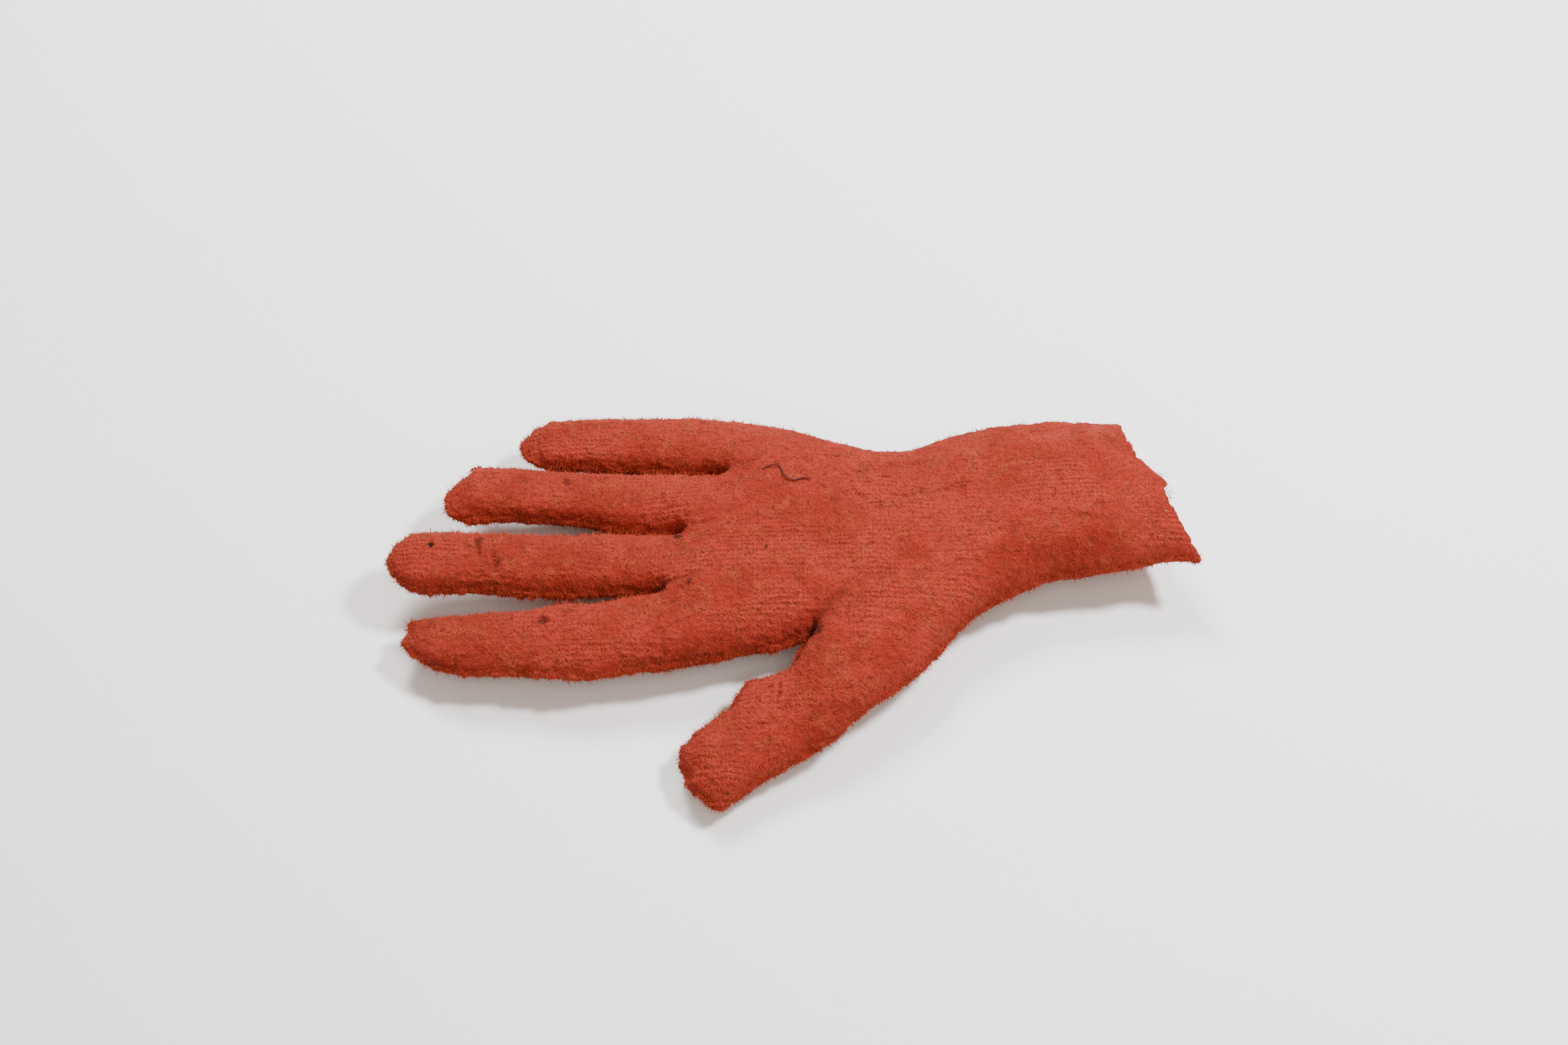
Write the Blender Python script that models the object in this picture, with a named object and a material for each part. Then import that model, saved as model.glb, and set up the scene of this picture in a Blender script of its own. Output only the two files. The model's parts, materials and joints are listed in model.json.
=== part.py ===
"""Passive prosthetic hand: a jointed wooden skeleton on steel pins, padded and sewn into a knitted cover.

The hand is a left hand that lies palm up. The fingers point along -X, the thumb side is -Y, the wrist end
is +X, and the table is the plane z = 0. Sizes are written in millimetres and scaled by MM.
"""

import math

import bmesh
import bpy
from mathutils import Matrix, Vector

MM = 0.001
GAP = 0.3

# The frame's origin, measured in the layout below: the middle of the hand's footprint on the table.
ORIGIN = (2.33, -1.22, 0.0)

# Laths: every phalanx is a flat wooden bar, forked at its far end and tongued at its near end.
LATH_WIDTH = 13.0
LATH_THICK = 6.5
TONGUE = 4.6
SLOT = TONGUE + 2 * GAP
SHOULDER = LATH_THICK / 2 + 0.4
PIN_RADIUS = 1.0
PIN_HOLE = 1.36
ROUND_STEPS = 6
PIN_SIDES = 12

# Covers: knit and wadding together, a tube round each lath, cut back in a V on the palm side of each joint.
END_GAP = 0.6
KNUCKLE_V, MIDDLE_V, TIP_V = 72.0, 75.0, 55.0
THUMB_V = (50.0, 60.0)
BACK_BEND = 10.0
# A distal bar stops this far short of the end of its cover, and its cavity a little further on.
TIP_FILL, CAVITY_SPARE = 9.0, 0.4

# Each digit: knuckle pin position, heading from -X towards +Y in degrees, and its segments.
# A segment is (name, length, pitch in degrees, half widths at its two ends, half thicknesses at its two ends).
FINGERS = {
    "index": ((-40.5, -14.3, 12.8), -1.8, (
        ("proximal", 22.5, -1.5, (11.0, 12.4), (7.4, 6.6)),
        ("middle", 28.0, -2.5, (12.0, 10.8), (6.5, 6.2)),
        ("distal", 27.0, -3.0, (10.6, 8.6), (6.1, 5.4)),
    )),
    "middle": ((-40.0, 10.6, 13.0), -1.0, (
        ("proximal", 26.0, 1.0, (10.4, 10.2), (7.4, 6.6)),
        ("middle", 31.0, 3.0, (10.0, 10.6), (6.5, 6.2)),
        ("distal", 29.4, 3.5, (11.0, 9.6), (6.1, 5.4)),
    )),
    "ring": ((-34.0, 34.7, 13.0), 2.8, (
        ("proximal", 20.0, 0.5, (10.4, 9.8), (7.4, 6.5)),
        ("middle", 28.5, 1.5, (9.6, 9.6), (6.4, 6.1)),
        ("distal", 27.0, 2.5, (9.8, 8.8), (6.0, 5.3)),
    )),
    "little": ((-21.5, 57.7, 13.0), 0.4, (
        ("proximal", 18.5, 0.0, (10.2, 9.6), (7.2, 6.3)),
        ("middle", 23.0, 0.0, (9.6, 9.4), (6.2, 6.0)),
        ("distal", 23.4, 0.0, (9.4, 8.2), (5.9, 5.2)),
    )),
}
THUMB_SWING_PIN = (21.1, -24.6, 13.0)
THUMB_HEADING = -41.0
THUMB_BASE_LENGTH = 10.0
THUMB_SEGMENTS = (
    ("proximal", 19.6, -12.0, (13.2, 13.6), (7.4, 6.4)),
    ("distal", 33.6, -4.0, (13.6, 11.0), (6.3, 5.4)),
)
TIP_ROUND = (0.55, 0.8, 0.93, 1.0)

# Palm: the outline of the sewn cover seen from above, anticlockwise from the index finger's knuckle.
PALM_Z = 13.0
PALM_HALF = 13.0
KNUCKLE_HALF = 8.2
KNUCKLE_X = -38.0
FULL_X = 2.0
# The palm's blunt V where the thumb leaves it, as (along, across) from the swing pin.
THUMB_FRONT = ((6.4, 14.0), (9.2, 0.0), (6.4, -14.0))
PALM_FOLDS = (-28.0, -18.0, -8.0, FULL_X, 56.0)
RADIAL_EDGE = ((-39.8, -26.2), (-25.0, -24.6), (-12.0, -22.6), (-2.0, -20.4))
HEEL_EDGE = ((33.0, -37.0), (41.0, -30.0), (48.0, -22.0), (54.0, -15.0), (64.0, -7.0), (78.0, 0.5),
             (95.0, 4.5), (115.0, 7.5), (140.0, 10.5))
ULNAR_EDGE = ((140.0, 62.0), (112.0, 62.0), (102.0, 63.6), (88.0, 63.4), (70.0, 60.0), (52.0, 55.4), (37.0, 52.8),
              (22.0, 56.4), (8.0, 62.0), (-5.0, 65.6), (-20.8, 68.0))
CUFF_FAR, CUFF_NEAR = (111.5, 63.0), (131.5, 8.0)
KNIT = 2.0
# Levels of the padded outline: share of the half thickness, and how far it has pulled in.
PILLOW = ((0.0, 0.0), (0.5, 1.9), (0.85, 3.4), (1.0, 5.2))

# The wrist runs up and away from the palm.
WRIST_START = (56.0, 27.8, 13.4)
WRIST_YAW, WRIST_PITCH = 8.0, 5.0
WRIST_LENGTH = 52.0
WRIST_WIDTH, WRIST_THICK = 44.0, 17.0
TENON_WIDTH, TENON_THICK, TENON_LENGTH = 26.0, 6.4, 20.0
JOINT_SCREW_X = (6.5, 14.5)
PLATE_SCREW_Y = (-12.5, 12.5)
PLATE_WIDTH, PLATE_HEIGHT, PLATE_THICK = 38.0, 14.0, 2.0
INSERT_RADIUS, INSERT_BORE, INSERT_DEPTH = 5.0, 3.2, 14.0
WRAP = 1.5

# The palm board, inside the padding.
BOARD_THICK = 11.2
BOARD_RADIAL = ((-31.0, -19.4), (-8.0, -15.0), (3.0, -10.5), (14.5, -14.5))
BOARD_ULNAR = ((30.0, -23.0), (44.0, -8.0), (57.4, 16.0), (53.8, 43.0), (40.0, 45.0), (22.0, 47.0),
               (8.0, 54.0), (-11.0, 58.6))
LUG_RADIUS = 5.0
FORK_REACH = 8.2

# Pads in front of and behind the palm board.
PAD_OUTLINE = ((-25.0, -14.0), (0.0, -9.0), (14.0, -11.0), (26.0, -24.0), (38.0, -18.0), (48.0, 0.0), (52.0, 16.0),
               (52.0, 42.0), (36.0, 44.0), (20.0, 46.0), (6.0, 52.0), (-9.0, 54.0), (-11.0, 46.0), (-24.0, 36.0),
               (-26.0, 24.0))
PAD_INNER, PAD_OUTER, PAD_FRONT_OUTER = 6.3, 10.2, 7.2

WOOD = ("beech", (0.55, 0.37, 0.20), 0.6, 0.0)
STEEL = ("steel", (0.55, 0.56, 0.58), 0.35, 1.0)
BRASS = ("brass", (0.72, 0.55, 0.25), 0.35, 1.0)
KNITTED = ("red_knit", (0.58, 0.10, 0.055), 0.95, 0.0)
WADDING = ("wadding", (0.62, 0.57, 0.48), 1.0, 0.0)


def clear_scene():
    for obj in list(bpy.data.objects):
        bpy.data.objects.remove(obj)


def material(spec):
    """A Principled material of that name, colour, roughness and metallic value, made once."""
    name, colour, roughness, metallic = spec
    made = bpy.data.materials.get(name)
    if made:
        return made
    made = bpy.data.materials.new(name)
    made.use_nodes = True
    shader = made.node_tree.nodes["Principled BSDF"]
    shader.inputs["Base Color"].default_value = (*colour, 1.0)
    shader.inputs["Roughness"].default_value = roughness
    shader.inputs["Metallic"].default_value = metallic
    return made


def empty(name, place, turn, parent):
    """An empty at a place in its parent's frame, turned by a 3x3 matrix. Pieces hang from it."""
    made = bpy.data.objects.new(name, None)
    bpy.context.scene.collection.objects.link(made)
    made.parent = parent
    made.matrix_local = Matrix.Translation(Vector(place) * MM) @ turn.to_4x4()
    return made


def piece(name, bm, parent, spec, smooth=True):
    """Turns a bmesh, drawn in millimetres in the parent's frame, into a named object."""
    bmesh.ops.recalc_face_normals(bm, faces=bm.faces)
    bmesh.ops.scale(bm, vec=(MM, MM, MM), verts=bm.verts)
    mesh = bpy.data.meshes.new(name)
    bm.to_mesh(mesh)
    bm.free()
    if smooth:
        mesh.shade_smooth()
        mesh.set_sharp_from_angle(angle=math.radians(35))
    made = bpy.data.objects.new(name, mesh)
    bpy.context.scene.collection.objects.link(made)
    made.parent = parent
    mesh.materials.append(material(spec))
    return made


def cutter(name, bm, parent):
    """A hidden helper that Boolean modifiers take away."""
    made = piece(name, bm, parent, WOOD, smooth=False)
    made.hide_render = True
    made.display_type = "WIRE"
    return made


def cut(target, *tools):
    for tool in tools:
        modifier = target.modifiers.new(tool.name, "BOOLEAN")
        modifier.operation = "DIFFERENCE"
        modifier.object = tool


def join(target, *others):
    """Adds each other mesh, kept as a hidden helper, to the target."""
    for other in others:
        modifier = target.modifiers.new(other.name, "BOOLEAN")
        modifier.operation = "UNION"
        modifier.object = other


def box(bm, low, high):
    """Adds a box between two corners."""
    low, high = Vector(low), Vector(high)
    made = bmesh.ops.create_cube(bm, size=1.0)["verts"]
    bmesh.ops.scale(bm, vec=high - low, verts=made)
    bmesh.ops.translate(bm, vec=(low + high) / 2, verts=made)


def rod(bm, centre, axis, radius, length, sides=PIN_SIDES):
    """Adds a cylinder centred on a point along an axis."""
    turn = Vector((0, 0, 1)).rotation_difference(Vector(axis)).to_matrix().to_4x4()
    bmesh.ops.create_cone(
        bm, cap_ends=True, segments=sides, radius1=radius, radius2=radius, depth=length,
        matrix=Matrix.Translation(centre) @ turn,
    )


def prism(bm, outline, low, high):
    """Adds a flat outline in X and Y, raised from one height to another."""
    base = [bm.verts.new((x, y, low)) for x, y in outline]
    top = [bm.verts.new((x, y, high)) for x, y in outline]
    bm.faces.new(base)
    bm.faces.new(top)
    loft_side(bm, base, top)


def loft_side(bm, ring, following):
    for i in range(len(ring)):
        j = (i + 1) % len(ring)
        bm.faces.new((ring[i], ring[j], following[j], following[i]))


def arc(centre, radius, start, end, steps):
    """Points on a circle in X and Y from one angle to another, both in degrees."""
    angles = [math.radians(start + (end - start) * i / steps) for i in range(steps + 1)]
    return [(centre[0] + radius * math.cos(a), centre[1] + radius * math.sin(a)) for a in angles]


def heading_frame(heading, pitch):
    """Axes of a segment: X along it, Z towards the palm side and Y across it."""
    h, p = math.radians(heading), math.radians(pitch)
    along = Vector((-math.cos(h) * math.cos(p), math.sin(h) * math.cos(p), math.sin(p)))
    across = Vector((0, 0, 1)).cross(along).normalized()
    return Matrix((along, across, along.cross(across))).transposed()


def lath(name, parent, length, fork=True, tongue_flat=False):
    """A wooden bar along X from its near pin at the origin to its far pin.

    The near end is a tongue: thin across the bar for a finger joint, thin in height where it swings sideways.
    """
    bm = bmesh.new()
    radius = LATH_THICK / 2
    tip = length if fork else length - radius
    if tongue_flat:
        outline = arc((0, 0), LATH_WIDTH / 2, 90, 270, 2 * ROUND_STEPS)
        outline += [(tip, -LATH_WIDTH / 2), (tip, LATH_WIDTH / 2)]
        prism(bm, outline, -radius, radius)
    else:
        side = arc((0, 0), radius, 90, 270, ROUND_STEPS) + arc((tip, 0), radius, -90, 90, ROUND_STEPS)
        near = [bm.verts.new((x, -LATH_WIDTH / 2, z)) for x, z in side]
        far = [bm.verts.new((x, LATH_WIDTH / 2, z)) for x, z in side]
        bm.faces.new(near)
        bm.faces.new(far)
        loft_side(bm, near, far)
    bar = piece(name, bm, parent, WOOD)
    if tongue_flat:
        join(bar, flat_bar_end(name, parent, tip))
    cut(bar, joint_cutter(name, parent, length, fork, tongue_flat))
    cut(bar, hole_cutter(name, parent, length, fork, tongue_flat))
    return bar


def flat_bar_end(name, parent, tip):
    """The round forked end of a bar whose near end is round in plan."""
    bm = bmesh.new()
    rod(bm, (tip, 0, 0), (0, 1, 0), LATH_THICK / 2, LATH_WIDTH, sides=2 * ROUND_STEPS)
    return cutter(f"{name}_round_end", bm, parent)


def joint_cutter(name, parent, length, fork, tongue_flat):
    """What is cut from a bar to leave its tongue and its fork."""
    bm = bmesh.new()
    outside = LATH_WIDTH
    if tongue_flat:
        reach = LUG_RADIUS + 1.0
        for side in (-1, 1):
            near, far = sorted((side * TONGUE / 2, side * LATH_THICK))
            box(bm, (-outside, -outside, near), (reach, outside, far))
    else:
        for side in (-1, 1):
            near, far = sorted((side * TONGUE / 2, side * outside))
            box(bm, (-outside, near, -outside), (SHOULDER, far, outside))
    if fork:
        box(bm, (length - SHOULDER, -SLOT / 2, -outside), (length + outside, SLOT / 2, outside))
    return cutter(f"{name}_joint_cut", bm, parent)


def hole_cutter(name, parent, length, fork, tongue_flat):
    bm = bmesh.new()
    rod(bm, (0, 0, 0), (0, 0, 1) if tongue_flat else (0, 1, 0), PIN_HOLE, 2 * LATH_WIDTH)
    if fork:
        rod(bm, (length, 0, 0), (0, 1, 0), PIN_HOLE, 2 * LATH_WIDTH)
    return cutter(f"{name}_hole_cut", bm, parent)


def pin(name, parent, place, axis=(0, 1, 0), length=LATH_WIDTH - 0.4):
    bm = bmesh.new()
    rod(bm, place, axis, PIN_RADIUS, length)
    return piece(name, bm, parent, STEEL)


def cavity_angles(half_width, half_thick):
    """Directions round a section, with one at each corner of its square hole."""
    corner = math.atan2(half_thick, half_width)
    quarter = [corner * i / 3 for i in range(3)] + [corner + (math.pi / 2 - corner) * i / 3 for i in range(3)]
    return [q + k * math.pi / 2 for k in (0, 2) for q in quarter] + [
        k * math.pi - q for k in (1, 2) for q in quarter if q > 0
    ] + [math.pi / 2, 3 * math.pi / 2]


def section(angles, half_width, half_thick, square):
    """Points round an oval, or round the rectangle of the same half sizes."""
    points = []
    for a in angles:
        c, s = math.cos(a), math.sin(a)
        if square:
            reach = min(half_width / max(abs(c), 1e-9), half_thick / max(abs(s), 1e-9))
        else:
            reach = 1 / math.hypot(c / half_width, s / half_thick)
        points.append((reach * c, reach * s))
    return points


def notched(distance, z, flex):
    """How far a cover stops from its pin at a height z: it leans back in a V on the palm side."""
    lean = flex / 2 if z > 0 else BACK_BEND / 2
    return distance + abs(z) * math.tan(math.radians(lean))


def cover(name, parent, length, widths, thicknesses, near_flex, far_flex=None):
    """A padded tube round a bar. With no far joint it closes over the tip in a round end."""
    hole = (LATH_WIDTH / 2 + GAP, LATH_THICK / 2 + GAP)
    angles = sorted(a % (2 * math.pi) for a in cavity_angles(*hole))
    bm = bmesh.new()
    closed = far_flex is None
    straight = length - 1.25 * thicknesses[1] if closed else length

    def ring(share, half_width, half_thick, square, near_end=True, x=None):
        made = []
        for y, z in section(angles, half_width, half_thick, square):
            start = notched(END_GAP, z, near_flex)
            end = straight if closed else length - notched(END_GAP, z, far_flex)
            made.append(bm.verts.new((start + (end - start) * share if x is None else x, y, z)))
        return made

    outer = []
    for share in (0.0, 0.33, 0.67, 1.0):
        half_width = widths[0] + (widths[1] - widths[0]) * share
        half_thick = thicknesses[0] + (thicknesses[1] - thicknesses[0]) * share
        outer.append(ring(share, half_width, half_thick, False))
    if closed:
        for share in TIP_ROUND:
            shrink = math.sqrt(1 - share * share) if share < 1 else 0.12
            x = straight + (length - straight) * share
            outer.append(ring(1, widths[1] * shrink, thicknesses[1] * shrink, False, x=x))
    core_end = length - TIP_FILL + CAVITY_SPARE if closed else length
    inner = [ring(0.0, *hole, True), ring(0, *hole, True, x=core_end) if closed else ring(1.0, *hole, True)]
    for first, second in zip(outer, outer[1:]):
        loft_side(bm, first, second)
    loft_side(bm, inner[0], inner[1])
    loft_side(bm, outer[0], inner[0])
    if closed:
        bm.faces.new(outer[-1])
        bm.faces.new(inner[1])
    else:
        loft_side(bm, outer[-1], inner[1])
    return piece(name, bm, parent, KNITTED)


def digit(name, hand, pivot, heading, segments, flexes, pin_names):
    """A chain of segments, each a lath with its cover, hung from an empty on its hinge line."""
    place = Vector(pivot)
    for i, (segment, length, pitch, widths, thicknesses) in enumerate(segments):
        last = i == len(segments) - 1
        turn = heading_frame(heading, pitch)
        holder = empty(f"{name}_{segment}_hinge", place, turn, hand)
        core_length = length - TIP_FILL if last else length
        lath(f"{name}_{segment}_core", holder, core_length, fork=not last)
        cover(f"{name}_{segment}_cover", holder, length, widths, thicknesses, flexes[i],
              None if last else flexes[i + 1])
        if not last:
            pin(f"{name}_{pin_names[i + 1]}", holder, (length, 0, 0))
        place = place + turn @ Vector((length, 0, 0))


def palm_middle(x):
    """Height of the sewn seam above the table: level in the palm, then rising along the wrist."""
    return PALM_Z + max(0.0, x - WRIST_START[0]) * math.tan(math.radians(WRIST_PITCH))


def palm_half(x):
    """Half the padded thickness, which thins towards the knuckles."""
    t = min(1.0, max(0.0, (x - KNUCKLE_X) / (FULL_X - KNUCKLE_X)))
    return KNUCKLE_HALF + (PALM_HALF - KNUCKLE_HALF) * t * t * (3 - 2 * t)


def knuckle_edge():
    """The front of the palm: a step for each finger, just behind its pin."""
    points = []
    for name, reach_near, reach_far in (("little", 10.2, 10.9), ("ring", 11.0, 11.3), ("middle", 11.9, 11.0)):
        (x, y, _), _, _ = FINGERS[name]
        points += [(x + END_GAP, y + reach_far), (x + END_GAP, y - reach_near)]
    return points


def palm_outline():
    turn = heading_frame(THUMB_HEADING, 0)
    swing = Vector(THUMB_SWING_PIN)
    thumb = [tuple(swing + turn @ Vector((along, -across, 0)))[:2] for along, across in THUMB_FRONT]
    front = knuckle_edge()[1:]
    return [*RADIAL_EDGE, *thumb, *HEEL_EDGE, *ULNAR_EDGE, *front]


def inset(outline, distance):
    """The outline moved inwards, each point along the mean of its two edges' normals."""
    moved = []
    count = len(outline)
    for i in range(count):
        before, here, after = (Vector(outline[(i + k) % count]) for k in (-1, 0, 1))
        normals = []
        for edge in (here - before, after - here):
            edge.normalize()
            normals.append(Vector((-edge.y, edge.x)))
        mean = (normals[0] + normals[1]).normalized()
        stretch = min(1.6, 1 / max(0.5, mean.dot(normals[0])))
        moved.append(here + mean * distance * stretch)
    return moved


def half_shell(name, parent, side):
    """One knitted panel of the palm, from the seam to the flat, as a shell with its opening at the seam.

    Each vertex carries its share of the height and the wall it stands behind, so the height can be set last.
    """
    bm = bmesh.new()
    share_of = bm.verts.layers.float.new("share")
    wall_of = bm.verts.layers.float.new("wall")
    outline = palm_outline()

    def ring(share, pull, wall):
        made = []
        for x, y in inset(outline, pull + wall):
            vert = bm.verts.new((x, y, side * share * (PALM_HALF - wall)))
            vert[share_of], vert[wall_of] = share, wall
            made.append(vert)
        return made

    outer = [ring(share, pull, 0.0) for share, pull in PILLOW]
    inner = [ring(share, pull, KNIT) for share, pull in PILLOW]
    for rings in (outer, inner):
        for first, second in zip(rings, rings[1:]):
            loft_side(bm, first, second)
        bm.faces.new(rings[-1])
    loft_side(bm, outer[0], inner[0])
    for x in PALM_FOLDS:
        everything = [*bm.verts, *bm.edges, *bm.faces]
        bmesh.ops.bisect_plane(bm, geom=everything, dist=1e-4, plane_co=(x, 0, 0), plane_no=(1, 0, 0))
    bmesh.ops.triangulate(bm, faces=[f for f in bm.faces if len(f.verts) > 4])
    for vert in bm.verts:
        rise = GAP / 2 + vert[share_of] * (palm_half(vert.co.x) - vert[wall_of] - GAP / 2)
        vert.co.z = palm_middle(vert.co.x) + side * rise
    return piece(name, bm, parent, KNITTED)


def cuff_cutter(parent):
    """Everything past the slanting raw edge of the cuff."""
    bm = bmesh.new()
    (fx, fy), (nx, ny) = CUFF_FAR, CUFF_NEAR
    slant = (nx - fx) / (ny - fy)
    low, high = -40.0, 120.0
    outline = [(fx + (low - fy) * slant, low), (240.0, low), (240.0, high), (fx + (high - fy) * slant, high)]
    prism(bm, outline, -50, 90)
    return cutter("cuff_cut", bm, parent)


def opening_cutters(parent):
    """Holes at the seam where the finger forks and the thumb's base come through the cover."""
    made = []
    for name, ((x, y, z), heading, _) in FINGERS.items():
        bm = bmesh.new()
        half = LATH_WIDTH / 2 + 2 * GAP
        box(bm, (-10.0, -half, -LATH_THICK / 2 - 2 * GAP), (12.0, half, LATH_THICK / 2 + 2 * GAP))
        holder = empty(f"{name}_opening", (x, y, z), heading_frame(heading, 0), parent)
        made.append(cutter(f"{name}_opening_cut", bm, holder))
    bm = bmesh.new()
    height, half = LATH_THICK / 2 + 2 * GAP, LATH_WIDTH / 2 + 3.0
    box(bm, (-3.0, -half, -height), (20.0, half, height))
    holder = empty("thumb_opening", THUMB_SWING_PIN, heading_frame(THUMB_HEADING, 0), parent)
    made.append(cutter("thumb_opening_cut", bm, holder))
    return made


def palm_board(hand, wrist):
    """The wooden board that carries the knuckle pins, the thumb's swing pin and the tenon for the wrist block."""
    bm = bmesh.new()
    front = []
    for name in ("little", "ring", "middle"):
        (x, y, _), _, _ = FINGERS[name]
        front += [(x + FORK_REACH, y - 1.0), (x + FORK_REACH, y - 12.5)]
    swing_x, swing_y, _ = THUMB_SWING_PIN
    lug = arc((swing_x, swing_y), LUG_RADIUS, 180, 330, 8)
    outline = [*BOARD_RADIAL, *lug, *BOARD_ULNAR, *front]
    prism(bm, outline, PALM_Z - BOARD_THICK / 2, PALM_Z + BOARD_THICK / 2)
    board = piece("palm_core", bm, hand, WOOD)
    for name, ((x, y, z), heading, _) in FINGERS.items():
        holder = empty(f"{name}_fork", (x, y, z), heading_frame(heading, 0), hand)
        bm = bmesh.new()
        side = arc((0, 0), LATH_THICK / 2, -90, 90, ROUND_STEPS) + [(-9.5, LATH_THICK / 2), (-9.5, -LATH_THICK / 2)]
        near = [bm.verts.new((x, -LATH_WIDTH / 2, z)) for x, z in side]
        far = [bm.verts.new((x, LATH_WIDTH / 2, z)) for x, z in side]
        bm.faces.new(near)
        bm.faces.new(far)
        loft_side(bm, near, far)
        join(board, cutter(f"{name}_fork_block", bm, holder))
        bm = bmesh.new()
        box(bm, (-SHOULDER, -SLOT / 2, -20), (20, SLOT / 2, 20))
        cut(board, cutter(f"{name}_fork_slot", bm, holder))
        bm = bmesh.new()
        rod(bm, (0, 0, 0), (0, 1, 0), PIN_HOLE, 3 * LATH_WIDTH)
        cut(board, cutter(f"{name}_fork_hole", bm, holder))
    bm = bmesh.new()
    box(bm, (-8.0, -TENON_WIDTH / 2, -TENON_THICK / 2), (TENON_LENGTH, TENON_WIDTH / 2, TENON_THICK / 2))
    join(board, cutter("tenon", bm, wrist))
    bm = bmesh.new()
    reach = LATH_WIDTH / 2 + 1.0
    outline = arc((swing_x, swing_y), reach, 0, 90, 4)
    outline += [(swing_x - 30, swing_y + reach), (swing_x - 30, swing_y - 30), (swing_x + reach, swing_y - 30)]
    prism(bm, outline, PALM_Z - SLOT / 2, PALM_Z + SLOT / 2)
    cut(board, cutter("thumb_slot", bm, hand))
    bm = bmesh.new()
    rod(bm, THUMB_SWING_PIN, (0, 0, 1), PIN_HOLE, 3 * BOARD_THICK)
    cut(board, cutter("thumb_swing_hole", bm, hand))
    return board


def rounded_ring(bm, x, half_width, half_thick):
    """A rounded rectangle across X: a superellipse with the power 10/3."""
    ring = []
    for i in range(20):
        c, s = math.cos(2 * math.pi * i / 20), math.sin(2 * math.pi * i / 20)
        y = math.copysign(abs(c) ** 0.6, c) * half_width
        z = math.copysign(abs(s) ** 0.6, s) * half_thick
        ring.append(bm.verts.new((x, y, z)))
    return ring


def wrist_wadding(wrist):
    """A band of wadding wrapped round the wrist block."""
    bm = bmesh.new()
    grow = GAP + WRAP
    rings = [rounded_ring(bm, x, WRIST_WIDTH / 2 + g, WRIST_THICK / 2 + g)
             for x, g in ((5.0, GAP), (5.0, grow), (WRIST_LENGTH - 4.0, grow), (WRIST_LENGTH - 4.0, GAP))]
    for first, second in zip(rings, rings[1:] + rings[:1]):
        loft_side(bm, first, second)
    return piece("wrist_wadding", bm, wrist, WADDING)


def wrist_parts(wrist, board):
    """The wrist block on the board's tenon, with its screws, end plate and threaded insert."""
    bm = bmesh.new()
    near, far = (rounded_ring(bm, x, WRIST_WIDTH / 2, WRIST_THICK / 2) for x in (1.0, WRIST_LENGTH))
    loft_side(bm, near, far)
    bm.faces.new(near)
    bm.faces.new(far)
    block = piece("wrist_block", bm, wrist, WOOD)
    bm = bmesh.new()
    box(bm, (-5.0, -TENON_WIDTH / 2 - GAP, -TENON_THICK / 2 - GAP),
        (TENON_LENGTH + GAP, TENON_WIDTH / 2 + GAP, TENON_THICK / 2 + GAP))
    cut(block, cutter("mortise", bm, wrist))

    for number, x in enumerate(JOINT_SCREW_X, 1):
        place = (x, 0.0, 0.0)
        hole = bmesh.new()
        rod(hole, place, (0, 0, 1), 2.4, 3 * WRIST_THICK)
        hole_tool = cutter(f"joint_screw_hole_{number}", hole, wrist)
        sink = bmesh.new()
        rod(sink, (x, 0.0, WRIST_THICK / 2), (0, 0, 1), 4.3, 5.0)
        cut(block, hole_tool, cutter(f"joint_screw_sink_{number}", sink, wrist))
        cut(board, hole_tool)
        bm = bmesh.new()
        head = WRIST_THICK / 2
        profile = [(0.8 - head, 2.0), (head - 2.2, 2.0), (head - 2.2, 3.9), (head - 0.4, 3.9)]
        turned(bm, profile, place, 12, upright=True)
        piece(f"joint_screw_{number}", bm, wrist, STEEL)
    end = WRIST_LENGTH
    bm = bmesh.new()
    rod(bm, (end, 0, 0), (1, 0, 0), INSERT_RADIUS + GAP, 2 * (INSERT_DEPTH + GAP), sides=16)
    cut(block, cutter("insert_hole", bm, wrist))
    bm = bmesh.new()
    rod(bm, (end - INSERT_DEPTH / 2, 0, 0), (1, 0, 0), INSERT_RADIUS, INSERT_DEPTH, sides=16)
    insert = piece("threaded_insert", bm, wrist, BRASS)
    bm = bmesh.new()
    rod(bm, (end, 0, 0), (1, 0, 0), INSERT_BORE, 2 * INSERT_DEPTH - 4, sides=16)
    cut(insert, cutter("insert_bore", bm, wrist))

    bm = bmesh.new()
    outline = arc((0, 0), 1.0, 0, 360, 24)[:-1]
    face = [(y * PLATE_WIDTH / 2, z * PLATE_HEIGHT / 2) for y, z in outline]
    near = [bm.verts.new((end + GAP, y, z)) for y, z in face]
    far = [bm.verts.new((end + GAP + PLATE_THICK, y, z)) for y, z in face]
    bm.faces.new(near)
    bm.faces.new(far)
    loft_side(bm, near, far)
    plate = piece("wrist_plate", bm, wrist, STEEL)
    bm = bmesh.new()
    rod(bm, (end, 0, 0), (1, 0, 0), INSERT_BORE + 0.4, 20, sides=16)
    cut(plate, cutter("plate_bore", bm, wrist))
    for number, y in enumerate(PLATE_SCREW_Y, 1):
        bm = bmesh.new()
        rod(bm, (end, y, 0), (1, 0, 0), 1.9, 24)
        tool = cutter(f"plate_screw_hole_{number}", bm, wrist)
        sink = bmesh.new()
        turned(sink, [(0.8, 1.8), (PLATE_THICK + 0.4, 3.1), (PLATE_THICK + 2.0, 3.1)], (end, y, 0), PIN_SIDES)
        cut(plate, tool, cutter(f"plate_screw_sink_{number}", sink, wrist))
        cut(block, tool)
        bm = bmesh.new()
        outline = [(-9.0, 1.5), (0.9, 1.5), (PLATE_THICK - 0.1, 2.6)]
        turned(bm, outline, (end, y, 0), 12)
        piece(f"plate_screw_{number}", bm, wrist, STEEL)


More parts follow.
